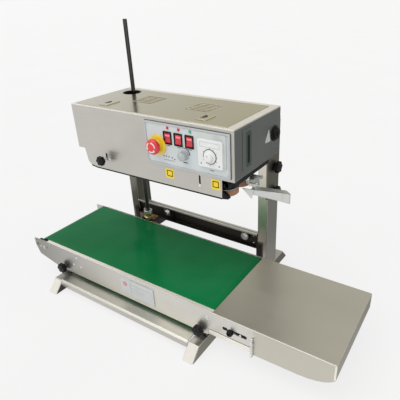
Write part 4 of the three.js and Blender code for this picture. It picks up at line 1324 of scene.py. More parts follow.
# ---------------------------------------------------------------- head
@dataclass
class Head:
    """The sealing head: folded casing, lid, guard, bands and wheels, and the bag guide."""

    left: float = -329.0
    right: float = 207.0
    front: float = -117.0
    back: float = 122.0
    low: float = 452.5
    top: float = 578.9
    band_x: Point2 = (-261.5, 157.0)
    wheel_radius: float = 29.6
    wheel_z: Point2 = (400.0, 418.0)
    front_wheel_y: float = -73.0
    rear_wheel_y: float = -11.0
    opening: Point2 = (-265.0, 63.0)
    lid_hole_x: Point2 = (-312.0, 174.0)
    lid_hole_y: Point2 = (-97.0, 93.0)
    window_x: Point2 = (-46.0, 189.0)
    window_z: Point2 = (466.0, 563.0)
    bar_bolts_x: tuple[float, ...] = (-300.0, -130.0, 40.0)
    press_x: float = -160.0
    press_y: Point2 = (-58.0, -26.0)
    end_cap: Point2 = (88.0, 515.0)
    clamp_z: Point2 = (389.0, 314.0)

    def build(self) -> None:
        """Builds every piece of the head."""
        self.casing()
        self.end_cover()
        self.lid()
        self.lid_fittings()
        self.guard()
        self.stickers()
        self.carriage()
        self.wheels()
        self.bands()
        self.guide()
        self.underside()
        self.knobs()

    def casing(self) -> None:
        """The folded casing, open below, with a lid opening and the panel's window."""
        form = Form()
        body = form.box((self.left, self.right), (self.front, self.back), (self.low, self.top))
        form.soften(body, 2.0, 3, lambda e: max(v.co.z for v in e.verts) > self.low + 1)
        form.cut(Axis.X, *sorted((*self.lid_hole_x, *self.window_x)))
        form.cut(Axis.Y, *self.lid_hole_y)
        form.cut(Axis.Z, *self.window_z)

        def gone(face: bmesh.types.BMFace) -> bool:
            """Whether a face is the open bottom, the lid opening or the panel's window.

            Args:
                face: The face.

            Returns:
                True if it is one of them.
            """
            spot, normal = face.calc_center_median(), face.normal
            lid_hole = normal.z > FACING and within(spot.x, self.lid_hole_x) and within(spot.y,
                                                                                        self.lid_hole_y)
            window = normal.y < -FACING and within(spot.x, self.window_x) and within(spot.z, self.window_z)
            return normal.z < -FACING or lid_hole or window

        form.drop(gone)
        form.finish("head_casing_folded", STEEL_SHEET, "head", ["head_casing"], wall=1.8)
        # A near-white rim round the lid opening: a painted highlight along the lid's edge.
        rim = Form()
        rim.prism(Axis.Z, rectangle(self.left + 0.6, self.right - 0.6, self.front + 0.6,
                                    self.back - 0.6, 3),
                  self.top - 0.3, self.top + 1.1, 0.5, holes=[rectangle(-322.5, 184.5, -107.5, 103.5, 2)])
        rim.finish("head_casing_rim", STEEL_HIGHLIGHT_STRIP, "head")

    def end_cover(self) -> None:
        """The right end: a skin painted dark as shade, a dark lift-off cover with a slot that a black sheet
        fills as painted shade, and the rear knob's cap.
        """
        x = self.right
        skin = Form()
        skin.prism(Axis.X, rectangle(self.front + 1.8, self.back - 1.8, self.low + 0.6,
                                     self.top - 2.2, 1.5),
                   x - 0.3, x + 0.35, 0.15, 1)
        skin.finish("head_end_skin", STEEL_DARK, "head")
        cover = Form()
        slot = rectangle(-59, -47, 481, 552, 5)
        cover.prism(Axis.X, rectangle(-79, -37, 468, 568, 3), x + 0.2, x + 2.2, 0.7, holes=[slot])
        cover.finish("head_end_cover", STEEL_DARK, "head")
        surround = Form()
        surround.prism(Axis.X, rectangle(-66, -41, 473, 562, 6), x + 2.0, x + 3.0, 0.5,
                       holes=[rectangle(-60, -46, 480, 553, 5)])
        surround.finish("head_end_slot_frame", STEEL_TEAL, "head")
        # A black sheet fills the cover's slot as painted shade; the same piece holds the rear knob's cap.
        dark = Form()
        dark.prism(Axis.X, rectangle(-61, -45, 479, 554, 5), x + 0.3, x + 1.7)
        dark.turned(Axis.X, [(0, x), (21, x), (21, x + 2), (17, x + 3.2), (16, x + 9), (14, x + 10.5),
                             (0, x + 10.5)],
                    self.end_cap, 36)
        dark.turned(Axis.X, [(0, x + 10), (7, x + 10), (7, x + 12.5), (5.5, x + 13.5), (0, x + 13.5)],
                    self.end_cap, 6)
        dark.finish("head_end_cap_and_slot_shade", BLACK_PLASTIC, "head")
        tag = Form()
        tag.prism(Axis.X, rounded([(33, 503), (64, 500), (55, 536)], 2.5), x + 0.3, x + 0.7)
        tag.finish("head_end_tag", PLATE_FILM, "head")

    def lid(self) -> None:
        """The polished lid with its louvres and the opening round the shaft."""
        low = self.top + 0.3
        holes = [ring(*self.opening, 28, 40)]
        # The louvres' raised lips are lighter than the lid they are pressed from: a painted highlight.
        bars = Form()
        for x in (-187, 0):
            for row in range(6):
                y = row * 13 - 20
                holes.append(rectangle(x, x + 74, y, y + 1.3, 0.6, 2))
                bars.prism(Axis.X, rounded([(y + 1.2, low + 1.4), (y + 4.2, low + 1.4),
                                            (y + 3.4, low + 2.6), (y + 1.0, low + 3.0)], 0.4, 2), x + 1,
                           x + 73, 0.15, 1)
        form = Form()
        form.prism(Axis.Z, rectangle(-322, 184, -107, 103, 3), low, low + 1.6, 0.45, holes=holes)
        form.finish("head_lid_plate", STEEL_LID, "head", ["head_lid"])
        bars.finish("head_lid_louvres", LID_LIP_HIGHLIGHT, "head")

    def lid_fittings(self) -> None:
        """The rubber ring in the shaft's opening and the two finger tabs."""
        z = self.top + 1.9
        collar = Form()
        collar.turned(Axis.Z, [(24.6, z - 3.2), (27.4, z - 3.2), (28.8, z - 0.2), (27.6, z + 0.5),
                               (25.4, z + 0.4), (24.6, z - 3.2)], self.opening, 48)
        collar.finish("lid_grommet", BLACK_PLASTIC, "head")
        tabs, lips, wells = Form(), Form(), Form()
        for x0, x1, y0, y1 in ((82, 111, -88, -42), (-244, -213, -92, -41)):
            tabs.prism(Axis.Z, rectangle(x0, x1, y0, y1, 2.5), z - 0.4, z + 0.9, 0.4)
            # The finger tabs' lips in the same lighter steel: a painted highlight.
            lips.prism(Axis.Z, rectangle(x1 - 2.2, x1 + 0.8, y0, y1, 1.2), z, z + 2.4, 0.5)
            lips.prism(Axis.Z, rectangle(x0 + 4, x1, y0 - 0.8, y0 + 1.8, 1.2), z, z + 2.2, 0.5)
            middle = (y0 + y1) / 2 + 5
            half_moon = [(x0 + 4 + 12 * math.sin(math.pi * k / 12),
                          middle - 12 * math.cos(math.pi * k / 12))
                         for k in range(13)]
            # Black half-moons on the finger tabs: painted shade in the finger recesses.
            wells.prism(Axis.Z, half_moon, z + 0.4, z + 1.2, 0.2, 1)
        tabs.finish("lid_finger_tabs", STEEL_LID, "head")
        lips.finish("lid_finger_lips", LID_LIP_HIGHLIGHT, "head")
        wells.finish("lid_finger_wells", BLACK_PLASTIC, "head")

    def guard(self) -> None:
        """The guard below the front, with its folded foot, black trim and wedge."""
        y = self.front
        edge = [(-303, 452.4), (-296, 414), (-285, 403), (-262, 400), (171, 404), (172, 452.4)]
        form = Form()
        form.prism(Axis.Y, rounded(edge, [0, 6, 8, 10, 2, 0], 5), y, y + 1.6,
                   holes=[slot_upright(-215, 430, 451.5, 3.4), slot_upright(107, 428, 451.5, 2.6)])
        form.box((-290, 165), (y + 1.5, y + 2.6), (440, 450), 0.3)
        form.box((-290, 165), (y + 2.4, y + 4), (440, 462), 0.3)
        form.finish("guard_plate_folded", STEEL_SHEET, "head", ["guard_plate"])
        shade = Form()
        for x, half in ((-215, 3.6), (107, 2.8)):
            shade.box((x - half, x + half), (y + 1.0, y + 1.55), (439 if x < 0 else 427.5, 451.6))
        shade.finish("guard_slot_shade", BLACK_PLASTIC, "head")
        trim = Form()
        lower = [(-285, 403), (-262, 400), (171, 404)]
        for (x0, z0), (x1, z1) in zip(lower, lower[1:]):
            trim.prism(Axis.Y, [(x0, z0 - 2.6), (x1, z1 - 2.6), (x1, z1 + 1.4), (x0, z0 + 1.4)],
                       y - 0.5, y + 9, 0.5)
        trim.prism(Axis.Y, rounded([(166, 401.4), (189, 405), (187, 410), (176, 419), (169, 420)], 1),
                   y + 0.3, y + 12, 0.6)
        trim.finish("guard_trim", BLACK_PLASTIC, "head")
        fasteners("guard_screws", "head", [
            Screw((107, y, 423), radius=3.6, height=2.2, washer=5, socket=0),
            Screw((-205, y, 433), radius=3.2, height=4, washer=5),
                                           Screw((-203, y, 441), radius=2.0, height=2)])

    def stickers(self) -> None:
        """Two plain yellow labels with a dark frame."""
        y = self.front
        films, frames = Form(), Form()
        for x0, x1, z0, z1 in ((0, 27, 424, 450), (141, 167, 424, 450)):
            films.prism(Axis.Y, rectangle(x0, x1, z0, z1, 3), y - 0.4, y + 0.2, 0.1, 1)
            frames.prism(Axis.Y, rectangle(x0 + 4, x1 - 4, z0 + 5, z1 - 4, 2), y - 0.6, y - 0.2, 0.1, 1,
                         holes=[rectangle(x0 + 6.2, x1 - 6.2, z0 + 7.2, z1 - 6.2, 1)])
        films.finish("guard_labels", YELLOW_FILM, "head")
        frames.finish("guard_label_frames", BLACK_PLASTIC, "head")

    def carriage(self) -> None:
        """The bar that joins the head to its two slide brackets, with its bolts."""
        form = Form()
        form.prism(Axis.Y, rectangle(-423, 200, 465, 535, 4), self.back + 0.4, self.back + 4.4, 0.5)
        form.finish("carriage_bar_plate", STEEL_SHEET, "head", ["carriage_bar"])
        bolts = [Screw((x, self.back + 4.4, z), sign=1, radius=5, height=4, sides=6, washer=8, socket=0)
                 for x in self.bar_bolts_x for z in (480, 520)]
        bolts += [Screw((x, 131.2, z), sign=1, radius=4, height=3, sides=6, washer=6.5, socket=0)
                  for x in (-412, 189) for z in (483, 512)]
        fasteners("carriage_bolts", "head", bolts)
        back = Form()
        for row in range(5):
            z = 484 + row * 13
            back.prism(Axis.X, rounded([(self.back - 0.2, z + 6), (self.back + 0.39, z + 6),
                                        (self.back + 0.39, z), (self.back - 0.2, z - 1)], 0.15, 2), -60, 60)
        back.finish("casing_back_ribs", STEEL_SHEET, "head")

    def wheels(self) -> None:
        """The four band wheels, each turned with its spindle and the drive wheels with a gear, and the two
        press wheels.
        """
        low, high = self.wheel_z
        r = self.wheel_radius
        for side, y in (("front", self.front_wheel_y), ("rear", self.rear_wheel_y)):
            for kind, x, look in (("drive", self.band_x[0], BRIGHT_STEEL),
                                  ("idle", self.band_x[1], ALUMINIUM)):
                name = f"{side}_{kind}_wheel"
                top = 484 if kind == "drive" else 468
                form = Form()
                form.turned(Axis.Z, [(0, low - 6), (8, low - 6), (9, low - 5), (9, low + 3), (20, low + 3),
                                     (22, low + 0.6), (r - 0.8, low + 0.2), (r, low + 1), (r, high - 1),
                                     (r - 0.8, high), (13, high), (12, high + 2), (12, 453), (11.2, 454),
                                     (7, 454), (7, top - 0.6), (6.4, top), (0, top)], (x, y), 48)
                if kind == "drive":
                    form.prism(Axis.Z, gear_outline(31, 2.0, math.pi / 2, (x, y)), 470, 480, 0.25, 1)
                form.finish(f"{name}_turned", look, name, [name])
            name = f"press_wheel_{side}"
            y = self.press_y[0 if side == "front" else 1]
            tyre = Form()
            tyre.turned(Axis.Z, [(4, low + 1), (13.2, low), (14.2, low + 1), (14.2, high - 1), (13.2, high),
                                 (4, high - 1), (4, low + 1)], (self.press_x, y), 40)
            tyre.finish(f"{name}_tyre", PRESS_RUBBER, name, [name])
            pin = Form()
            pin.turned(Axis.Z, [(0, low + 0.2), (4.2, low + 0.2), (5, low + 2), (5, 465.5),
                                (4.5, 466), (0, 466)],
                       (self.press_x, y), 24)
            pin.finish(f"{name}_pin", CUT_STEEL, name)

    def bands(self) -> None:
        """The two endless cloth bands that carry the bag's mouth."""
        for side, y in (("front", self.front_wheel_y), ("rear", self.rear_wheel_y)):
            outer, inner = (stadium(self.band_x, y, self.wheel_radius + more, 20) for more in (1.0, 0.3))
            form = Form()
            form.prism(Axis.Z, outer, self.wheel_z[0] + 1.5, self.wheel_z[1] - 1.5, 0.2, 1, holes=[inner])
            form.finish(f"{side}_band_cloth", BAND_CLOTH, "head", [f"{side}_band"])
            fins = Form()
            near, far = (-43.6, -59) if side == "front" else (-40.4, -25)
            y0, y1 = sorted((near, far))
            for k in range(9):
                fins.box((-115 + k * 9, -110 + k * 9),
                         (y0 + (2 if side == "rear" else 0), y1 - (2 if side == "front" else 0)),
                         (401, 424), 0.6)
            fins.box((-118, -38), (y0, y1), (401, 408), 0.8)
            fins.turned(Axis.Z, [(0, 407), (4, 407), (4, 455.7), (0, 455.7)], (-78, (y0 + y1) / 2), 16)
            fins.finish(f"cooling_block_{side}", ALUMINIUM, "head")

    def guide(self) -> None:
        """The bag's infeed channel on its bracket."""
        form = Form()
        channel = rounded([(-53, 398), (-49, 398), (-49, 419), (-35, 419), (-35, 400), (-31, 400),
                           (-31, 422), (-53, 422)],
                          [0.8, 0.4, 0.4, 0.4, 0.4, 0.8, 1.6, 1.6], 3)
        form.prism(Axis.X, channel, 214, 300, 0.35, 1)
        form.prism(Axis.Y, rounded([(299, 398), (319, 397), (319, 422), (299, 422)], [0, 1.5, 1.5, 0]),
                   -53, -49, 0.5)
        form.prism(Axis.Z, [(300.2, -49.2), (318.5, -49.2), (318.5, -47), (300.2, -31.2)],
                   419.4, 421.8, 0.3)
        for vert in form.bm.verts:
            if vert.co.z > 415:
                vert.co.z -= 10 * (319 - vert.co.x) / 105
        form.box((196, 232), (-46, -38), (421, 425), 0.8)
        form.box((214.5, 224), (-46, -38), (408, 422), 0.8)
        form.box((196, 204), (-46, -38), (424, 455.7), 0.8)
        form.finish("infeed_guide_channel", ALUMINIUM, "head", ["infeed_guide"])
        flare = Form()
        flare.prism(Axis.Y, rounded([(190, 411), (224, 413), (218, 386)], 1.5), -54.6, -53.2, 0.3, 1)
        flare.finish("infeed_guide_flare", ALUMINIUM, "head")
        plate = Form()
        plate.box((191, 216), (-24, -8), (404, 432), 1.5)
        plate.box((196, 212), (-36, -22), (425.5, 430), 0.8)
        plate.finish("infeed_guide_bracket", ALUMINIUM, "head")
        fasteners("infeed_guide_screws", "head", [Screw((200, -46, 432), radius=3.8, height=4, washer=5.5),
                                                  Screw((204, -24, 423), radius=3, height=2.4),
                                                  Screw((224, -42, 425), Axis.Z, 1, radius=3.6, height=3)])

    def underside(self) -> None:
        """The idle wheels' arms, the black strips below the casing and the band tension rod."""
        arm = Form()
        arm.box((146, 188), (-112, -87), (430, 450), 2)
        for y in (self.front_wheel_y, self.rear_wheel_y):
            arm.turned(Axis.Z, [(13.5, 419.2), (30.5, 419.2), (31.5, 420.2), (31.5, 425), (30.5, 426),
                                (13.5, 426), (13.5, 419.2)], (self.band_x[1], y), 40)
        arm.box((176, 189), (-112, 6), (431, 447), 1.5)
        arm.finish("idle_arm_front", BLACK_PLASTIC, "head")
        # Black strips along the casing's lower edge: a trim, and partly painted shade under the casing's
        # edge.
        skirt = Form()
        skirt.box((194, 205.4), (self.front + 5, 62), (439, 452.3), 1.5)
        skirt.box((60, 184), (self.front + 5, self.front + 9), (440, 452.3), 1)
        skirt.finish("casing_lower_trim", BLACK_PLASTIC, "head")
        rod = Form()
        rod.turned(Axis.X, [(0, 184), (3, 184), (3, 226), (4.4, 226), (4.4, 230), (0, 230)], (-22, 436), 16)
        rod.turned(Axis.X, [(0, 176), (5.5, 176), (5.5, 190), (0, 190)], (-22, 436), 6)
        rod.finish("band_tension_rod", BRIGHT_STEEL, "head")

    def knobs(self) -> None:
        """The knob that sets the sealing pressure and the four that clamp the head."""
        star_knob("pressure_knob", Axis.Y, -1, (-215, -135, 436), 14, 12, 27, 3.2)
        for end, x, side in zip(("left", "right"), POSTS_X, (-1, 1)):
            for level, z, radius in zip(("upper", "lower"), self.clamp_z, (18, 14)):
                star_knob(f"clamp_knob_{end}_{level}", Axis.X, side, (x + side * 25.3, 158, z),
                          radius, 13, 4.5)


def slot_upright(a: float, b0: float, b1: float, radius: float) -> list[Point2]:
    """A slot with round ends, its long way along the second coordinate."""
    return rounded([(a - radius, b0), (a + radius, b0), (a + radius, b1), (a - radius, b1)],
                   radius * 0.98, 5)


def gear_outline(teeth: int, module: float, first: float, centre: Point2) -> list[Point2]:
    """A spur gear's outline with straight flanks and round tips.

    Args:
        teeth: How many teeth it has.
        module: Their module.
        first: The angle of the first tooth.
        centre: Its middle.

    Returns:
        The outline's points.
    """
    pitch = FULL_TURN / teeth
    radius = teeth * module / 2
    out = []
    for tooth in range(teeth):
        for share, r in ((-0.3, -1.2), (-0.1, 0.8), (0.0, 0.9), (0.1, 0.8), (0.3, -1.2)):
            out.append(around(centre, radius + r * module, first + (tooth + share) * pitch))
    return out


# ---------------------------------------------------------------- controls
@dataclass
class Controls:
    """The control panel with its switches, lamps, knobs and thermostat."""

    left: float = -55.0
    right: float = 198.0
    low: float = 459.0
    high: float = 570.0
    front: float = -119.3
    estop: Point2 = (-16.0, 511.0)
    rocker_x: tuple[float, ...] = (18.0, 51.0, 84.5)
    rocker_z: float = 534.0
    speed: Point2 = (68.0, 498.0)
    thermo: Point2 = (147.0, 516.5)
    dial_drop: float = 6.0
    lamp_z: float = 559.5
    lamps: tuple[tuple[float, Finish], ...] = field(default_factory=lambda: (
        (19.6, RED_LENS), (53.6, RED_LENS), (87.8, GREEN_LENS)))

    def build(self) -> None:
        """Builds every piece of the panel."""
        self.panel()
        self.legends()
        self.emergency_stop()
        self.rockers()
        self.indicator_lamps()
        self.speed_control()
        self.thermostat()

    def panel(self) -> None:
        """The pale panel with its raised frame."""
        y = self.front
        holes = [rectangle(x - 9.6, x + 9.6, self.rocker_z - 14.2, self.rocker_z + 14.2, 1)
                 for x in self.rocker_x]
        holes += [ring(*self.estop, 11.3, 32), ring(*self.speed, 4.3, 20),
                  rectangle(self.thermo[0] - 29.3, self.thermo[0] + 29.3, self.thermo[1] - 29.3,
                            self.thermo[1] + 29.3, 1)]
        form = Form()
        form.prism(Axis.Y, rectangle(self.left + 1, self.right - 1, self.low + 1, self.high - 1, 2), y,
                   y + 2.1, 0.2, 1, holes=holes)
        form.finish("control_panel_face", PANEL_FACE, "head", ["control_panel"])
        rim = Form()
        rim.prism(Axis.Y, rectangle(self.left, self.right, self.low, self.high, 3), y - 1.9, y + 2, 0.7,
                  holes=[rectangle(self.left + 4.5, self.right - 4.5, self.low + 4.5, self.high - 4.5, 2)])
        rim.finish("control_panel_frame", PANEL_RIM, "head")
        gap = Form()
        gap.prism(Axis.Y, rectangle(self.left - 1.3, self.right + 0.8, self.low - 1.2, self.high + 1.2,
                                    3.4), y + 1.3,
                  y + 2.1, 0.1, 1, holes=[rectangle(self.left - 0.2, self.right + 0.2, self.low - 0.2,
                                                    self.high + 0.2, 2.9)])
        gap.finish("control_panel_gap", BLACK_STEEL, "head")
        fasteners("control_panel_screws", "head", [
            Screw((x, y, z), radius=1.9, height=1.0, socket=0)
            for x in (self.left + 9, self.right - 8) for z in (self.low + 8.5, self.high - 8.5)])

    def legends(self) -> None:
        """Plain marks in place of lettering: short rules under the switches and round the knobs."""
        y = self.front
        marks = Form()
        for x in self.rocker_x:
            marks.box((x - 5, x + 5), (y - 0.25, y + 0.1), (513.4, 514.6))
        for x, z in ((1, 483), (9, 483.4), (17, 483), (27, 482), (35, 479)):
            marks.box((x - 1.8, x + 1.8), (y - 0.25, y + 0.1), (z, z + 2.4))
        marks.box((0, 33), (y - 0.25, y + 0.1), (474.5, 475.2))
        marks.box((62, 75), (y - 0.25, y + 0.1), (477, 479.2))
        marks.box((141, 153), (y - 0.25, y + 0.1), (472, 473.4))
        marks.finish("panel_marks", BLACK_PLASTIC, "head")
        scale = Form()
        inner, outer, count = 13.2, 15.8, 16
        middle = (self.speed[0], self.speed[1] + 3)
        band = [around(middle, outer, math.radians(-5 + 125 * k / count)) for k in range(count + 1)]
        band += [around(middle, inner + 1.8 * (k / count - 1) ** 2, math.radians(120 - 125 * k / count))
                 for k in range(count + 1)]
        scale.prism(Axis.Y, band, y - 0.25, y + 0.1)
        scale.finish("speed_scale", BLACK_PLASTIC, "head")

    def emergency_stop(self) -> None:
        """The red mushroom button on its yellow collar."""
        collar = Form()
        collar.turned(Axis.Y, [(6.3, -127), (12, -127), (13, -126.4), (14.2, -123.4), (24, -122.7),
                               (26.4, -121.6), (27, -120.4), (27, -119.6), (11, -119.6), (11, -98.6),
                               (10.4, -98), (6.3, -98), (6.3, -127)], self.estop, 56)
        collar.finish("estop_collar", YELLOW_PLASTIC, "head", ["estop_base"])
        button = Form()
        button.turned(Axis.Y, [(0, -147), (6, -146.9), (12, -146.4), (16, -145.4), (18.6, -143.8),
                               (20, -141.4), (20, -135.5), (19.2, -133.6), (17, -131.8), (6, -131.5),
                               (6, -104), (0, -104)],
                      self.estop, 56)
        button.finish("estop_mushroom", RED_PLASTIC, "estop_button", ["estop_button"])
        arrows = Form()
        for turn in range(3):
            start, swept = FULL_TURN * turn / 3, math.radians(70)
            arc = [around(self.estop, 13.6, start + swept * k / 8) for k in range(9)]
            arc += [around(self.estop, reach, start + math.radians(part))
                    for reach, part in ((15.6, 70), (12.2, 96), (8.8, 70))]
            arc += [around(self.estop, 10.8, start + swept * (8 - k) / 8) for k in range(9)]
            arrows.prism(Axis.Y, arc, -147.0, -145.2)
        arrows.finish("estop_arrows", WHITE_PLASTIC, "estop_button")

    def rockers(self) -> None:
        """Three black bezels with red rockers that tilt in them."""
        y = self.front
        bezels = Form()
        for x in self.rocker_x:
            bezels.prism(Axis.Y, rectangle(x - 12.6, x + 12.6, self.rocker_z - 16.4,
                                           self.rocker_z + 16.4, 1.6),
                         y - 2.2, y - 0.05, 0.6,
                         holes=[rectangle(x - 9.5, x + 9.5, self.rocker_z - 13.7,
                                          self.rocker_z + 13.7, 0.8)])
        bezels.finish("rocker_bezels", BLACK_PLASTIC, "head")
        for number, x in enumerate(self.rocker_x, 1):
            z, pivot = self.rocker_z, -112
            side = [(-9.5, -11.7), (-9.7, -10.9), (-6.6, 1.6), (-8.4, 11.2), (-8.2, 12), (-2, 12), (5, 7),
                    (5, -7), (-2, -12)]
            form = Form()
            form.prism(Axis.X, [(pivot + a, z + b) for a, b in side], x - 9, x + 9, 0.6, 2)
            form.finish(f"rocker_{number}_lens", RED_LENS, f"rocker_switch_{number}",
                        [f"rocker_switch_{number}"])
            # A pale pink patch on each rocker's upper face, glowing a little: a painted highlight.
            window = Form()
            spots = window.prism(Axis.Y, rectangle(-7.4, 7.4, -2.6, 2.6, 1.6), -0.35, 0.3, 0.15, 1)
            window.move(spots, Matrix.Translation((x, pivot - 7.9, z + 6.2))
                        @ Matrix.Rotation(math.radians(-10.6), 4, "X"))
            window.finish(f"rocker_{number}_window", ROCKER_HIGHLIGHT_PATCH, f"rocker_switch_{number}")

    def indicator_lamps(self) -> None:
        """The round lamps above the rockers."""
        y = self.front
        for number, (x, look) in enumerate(self.lamps, 1):
            lens = Form()
            lens.turned(Axis.Y, [(0, y - 2.6), (1.6, y - 2.4), (3.4, y - 1.6), (4.2, y - 0.2), (4.2, y + 1),
                                 (0, y + 1)],
                        (x, self.lamp_z), 28)
            lens.finish(f"lamp_{number}_lens", look, "head")
        rims = Form()
        for x, _ in self.lamps:
            rims.turned(Axis.Y, [(4.1, y - 0.5), (4.9, y - 0.5), (5.2, y - 0.05), (4.1, y - 0.05),
                                 (4.1, y - 0.5)],
                        (x, self.lamp_z), 28)
        rims.finish("lamp_rims", BRIGHT_STEEL, "head")

    def speed_control(self) -> None:
        """The fluted speed knob with its pointer."""
        form = Form()
        grip = form.prism(Axis.Y, [(self.speed[0] + a, self.speed[1] + b)
                                   for a, b in star_outline(18, 11.6, 0.9, 108)],
                          -135.6, -124, 0.5, 2)
        grip += form.turned(Axis.Y, [(0, -136), (9, -136), (9.8, -135.4), (9.8, -130),
                                     (0, -130)], self.speed)
        grip += form.turned(Axis.Y, [(0, -125), (11.4, -125), (12, -124), (12, -119.9), (3.8, -119.8),
                                     (3.8, -108), (0, -108)], self.speed)
        form.finish("speed_knob_grip", GREY_PLASTIC, "speed_knob", ["speed_knob"])
        mark = Form()
        mark.box((self.speed[0] - 0.7, self.speed[0] + 0.7), (-136.5, -134),
                 (self.speed[1] + 3, self.speed[1] + 9.4), 0.2)
        mark.finish("speed_knob_pointer", WHITE_PLASTIC, "speed_knob")

    def thermostat(self) -> None:
        """The thermostat: grey bezel, white face, dark dial ring, scale and dial."""
        x, z = self.thermo
        dial_z = z - self.dial_drop
        frame_form = Form()
        frame_form.prism(Axis.Y, rectangle(x - 37, x + 41, z - 33.6, z + 48.5, 4), self.front - 2.6,
                         self.front - 0.1, 0.8, holes=[rectangle(x - 33.6, x + 33.6, z - 30, z + 34, 2)])
        frame_form.finish("thermostat_bezel", BEZEL_PLASTIC, "head")
        body = Form()
        body.prism(Axis.Y, rectangle(x - 34, x + 34, z - 34, z + 34, 3.5), -127, -119.6, 1.0, 3,
                   holes=[ring(x, dial_z, 4.3, 24)])
        body.box((x - 29, x - 5), (-119.8, -92), (z - 29, z + 29), 0.8)
        body.box((x + 5, x + 29), (-119.8, -92), (z - 29, z + 29), 0.8)
        body.finish("thermostat_body", WHITE_PLASTIC, "head", ["thermostat"])
        inlay = Form()
        inlay.prism(Axis.Y, rectangle(x - 28, x + 28, z + 16, z + 28, 1.5), -127.4, -126.8, 0.15, 1,
                    holes=[rectangle(x - 27.2, x + 27.2, z + 16.8, z + 27.2, 1.2)])
        inlay.finish("thermostat_inlay", PANEL_RIM, "head")
        ring_form = Form()
        ring_form.turned(Axis.Y, [(17.2, -127.1), (17.2, -127.5), (18.6, -127.5), (18.6, -127.1),
                                  (17.2, -127.1)],
                         (x, dial_z), 48)
        for k in range(11):
            angle = math.radians(-60 + 30 * k)
            tick = ring_form.box((-0.35, 0.35), (-127.45, -127.0), (19.6, 22.4 if k % 2 == 0 else 21.2))
            ring_form.move(tick, Matrix.Translation((x, 0, dial_z)) @ Matrix.Rotation(angle, 4, "Y"))
        for dx in (-25.5, 25.5):
            ring_form.turned(Axis.Y, [(0, -127.5), (1.5, -127.5), (1.5, -127), (0, -127)],
                             (x + dx, z - 26), 16)
        ring_form.finish("thermostat_scale", BLACK_PLASTIC, "head")
        dial = Form()
        dial.turned(Axis.Y, [(0, -139), (8.4, -139), (9.4, -138.6), (10.4, -137.4), (11, -130.4),
                             (12, -129.4), (15.8, -129),
                             (16.5, -128.4), (16.5, -127.6), (3.7, -127.6), (3.7, -114), (0, -114)],
                    (x, dial_z), 56)
        dial.finish("thermostat_dial_knob", WHITE_PLASTIC, "thermostat_dial", ["thermostat_dial"])
        mark = Form()
        mark.box((x - 0.7, x + 0.7), (-139.5, -137), (dial_z + 2, dial_z + 8.6), 0.2)
        mark.finish("thermostat_dial_pointer", GREY_PLASTIC, "thermostat_dial")


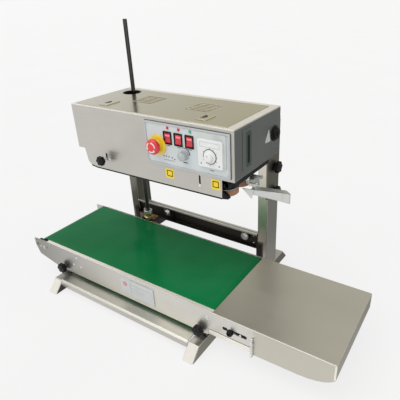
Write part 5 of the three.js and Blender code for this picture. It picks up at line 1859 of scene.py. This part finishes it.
# ---------------------------------------------------------------- stage
@dataclass
class Studio:
    """The floor, the light and the camera."""

    eye: Place = (0.6635, -0.8681, 0.8595)
    right_way: Place = (0.84363592, 0.53621478, -0.02742521)
    down_way: Place = (0.22127414, -0.39376582, -0.89218061)
    look_way: Place = (-0.48919954, 0.74660712, -0.45084546)
    lens: float = 37.44
    shift: Point2 = (-0.0556, -0.0055)
    backdrop: Colour = (0.665, 0.665, 0.665)
    glow_seen: float = 5.95
    glow_front: float = 5.8
    glow_behind: float = 1.6
    sky_strength: float = 1.36

    def camera(self) -> None:
        """Places the camera."""
        data = bpy.data.cameras.new("camera")
        data.sensor_width, data.lens = 36.0, self.lens
        data.shift_x, data.shift_y = self.shift
        data.clip_start, data.clip_end = 0.02, 200.0
        camera = bpy.data.objects.new("camera", data)
        turn = Matrix((self.right_way, [-c for c in self.down_way],
                       [-c for c in self.look_way])).transposed()
        camera.matrix_world = Matrix.Translation(self.eye) @ turn.to_4x4()
        bpy.context.scene.collection.objects.link(camera)
        bpy.context.scene.camera = camera

    def floor(self) -> None:
        """A wide pale floor."""
        bm = bmesh.new()
        bmesh.ops.create_grid(bm, x_segments=1, y_segments=1, size=60.0)
        mesh = bpy.data.meshes.new("floor")
        bm.to_mesh(mesh)
        bm.free()
        material, graph, shader, place = start_material("floor_pale")
        paper = graph.node("TexNoise", {"Vector": place, "Scale": 2.0, "Detail": 2.0})
        tone = graph.mix(paper.outputs[0], rgba((0.128, 0.128, 0.1285)), rgba((0.132, 0.1318, 0.132)))
        seen = graph.node("LightPath").outputs["Is Camera Ray"]
        behind = graph.spread(graph.part(place, 1), -0.25, 0.45, self.glow_front, self.glow_behind)
        glow = graph.math("ADD", graph.math("MULTIPLY", graph.math("SUBTRACT", 1.0, seen), behind),
                          graph.math("MULTIPLY", seen, self.glow_seen))
        graph.fill(shader, {"Base Color": tone, "Roughness": 0.9, "Specular IOR Level": 0.1,
                            "Emission Color": tone, "Emission Strength": glow})
        mesh.materials.append(material)
        ground = bpy.data.objects.new("floor", mesh)
        bpy.context.scene.collection.objects.link(ground)

    def light(self) -> None:
        """A soft room: a pale sky that darkens in the middle heights, and two wide soft suns."""
        world = bpy.data.worlds.new("studio")
        world.use_nodes = True
        graph = Graph(world.node_tree)
        world.node_tree.nodes.clear()
        way = graph.node("TexCoord").outputs["Generated"]
        heights = ((0.0, 0.8), (0.1, 0.8), (0.22, 0.78), (0.42, 0.74), (0.62, 0.62),
                   (0.85, 0.6), (1.0, 0.7))
        sky = graph.ramp(graph.spread(graph.part(way, 2), -0.1, 1.0),
                         [(at, (grey, grey * 0.985, grey * 0.95)) for at, grey in heights])
        sides = graph.ramp(graph.spread(graph.part(way, 0), -1.0, 1.0), (
            (0.1, (0.88, 0.92, 1.0)), (0.17, (0.69, 0.69, 0.7)), (0.26, (0.61, 0.61, 0.54)),
            (0.4, (0.68, 0.68, 0.66)), (0.6, (0.74, 0.74, 0.74))))
        both = graph.node("VectorMath", {0: sky, 1: sides}, operation="MULTIPLY")
        seen = graph.node("LightPath").outputs["Is Camera Ray"]
        shown = graph.mix(seen, both.outputs[0], rgba(self.backdrop))
        background = graph.node("Background", {0: shown, 1: self.sky_strength})
        graph.node("OutputWorld", {0: background.outputs[0]})
        bpy.context.scene.world = world
        suns = (("key", 1.1, 50, (0.35, 0.45, -1.0)), ("fill", 0.5, 80, (-0.5, 0.6, -0.9)))
        for name, strength, width, way_down in suns:
            data = bpy.data.lights.new(name, "SUN")
            data.energy, data.angle = strength, math.radians(width)
            sun = bpy.data.objects.new(name, data)
            sun.rotation_mode = "QUATERNION"
            sun.rotation_quaternion = Vector(way_down).to_track_quat("-Z", "Y")
            bpy.context.scene.collection.objects.link(sun)

    def build(self) -> None:
        """Builds the camera, the floor and the light."""
        self.camera()
        self.floor()
        self.light()
        bpy.context.scene.view_settings.view_transform = "Standard"


def dress_plain_nodes() -> None:
    """Gives the CAD nodes that stay in sight their finishes."""
    for name, look in PLAIN_NODES.items():
        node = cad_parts[name]
        for place in node.material_slots:
            place.material = look.material()
        log.info("%s: dressed with %s", name, look.name)


def main() -> None:
    """Builds the stage and every piece."""
    logging.basicConfig(level=logging.INFO, format="%(name)s: %(message)s")
    Studio().build()
    for part in (Stand(), Conveyor(), Head(), Controls()):
        part.build()
    dress_plain_nodes()


if __name__ == "__main__":
    main()
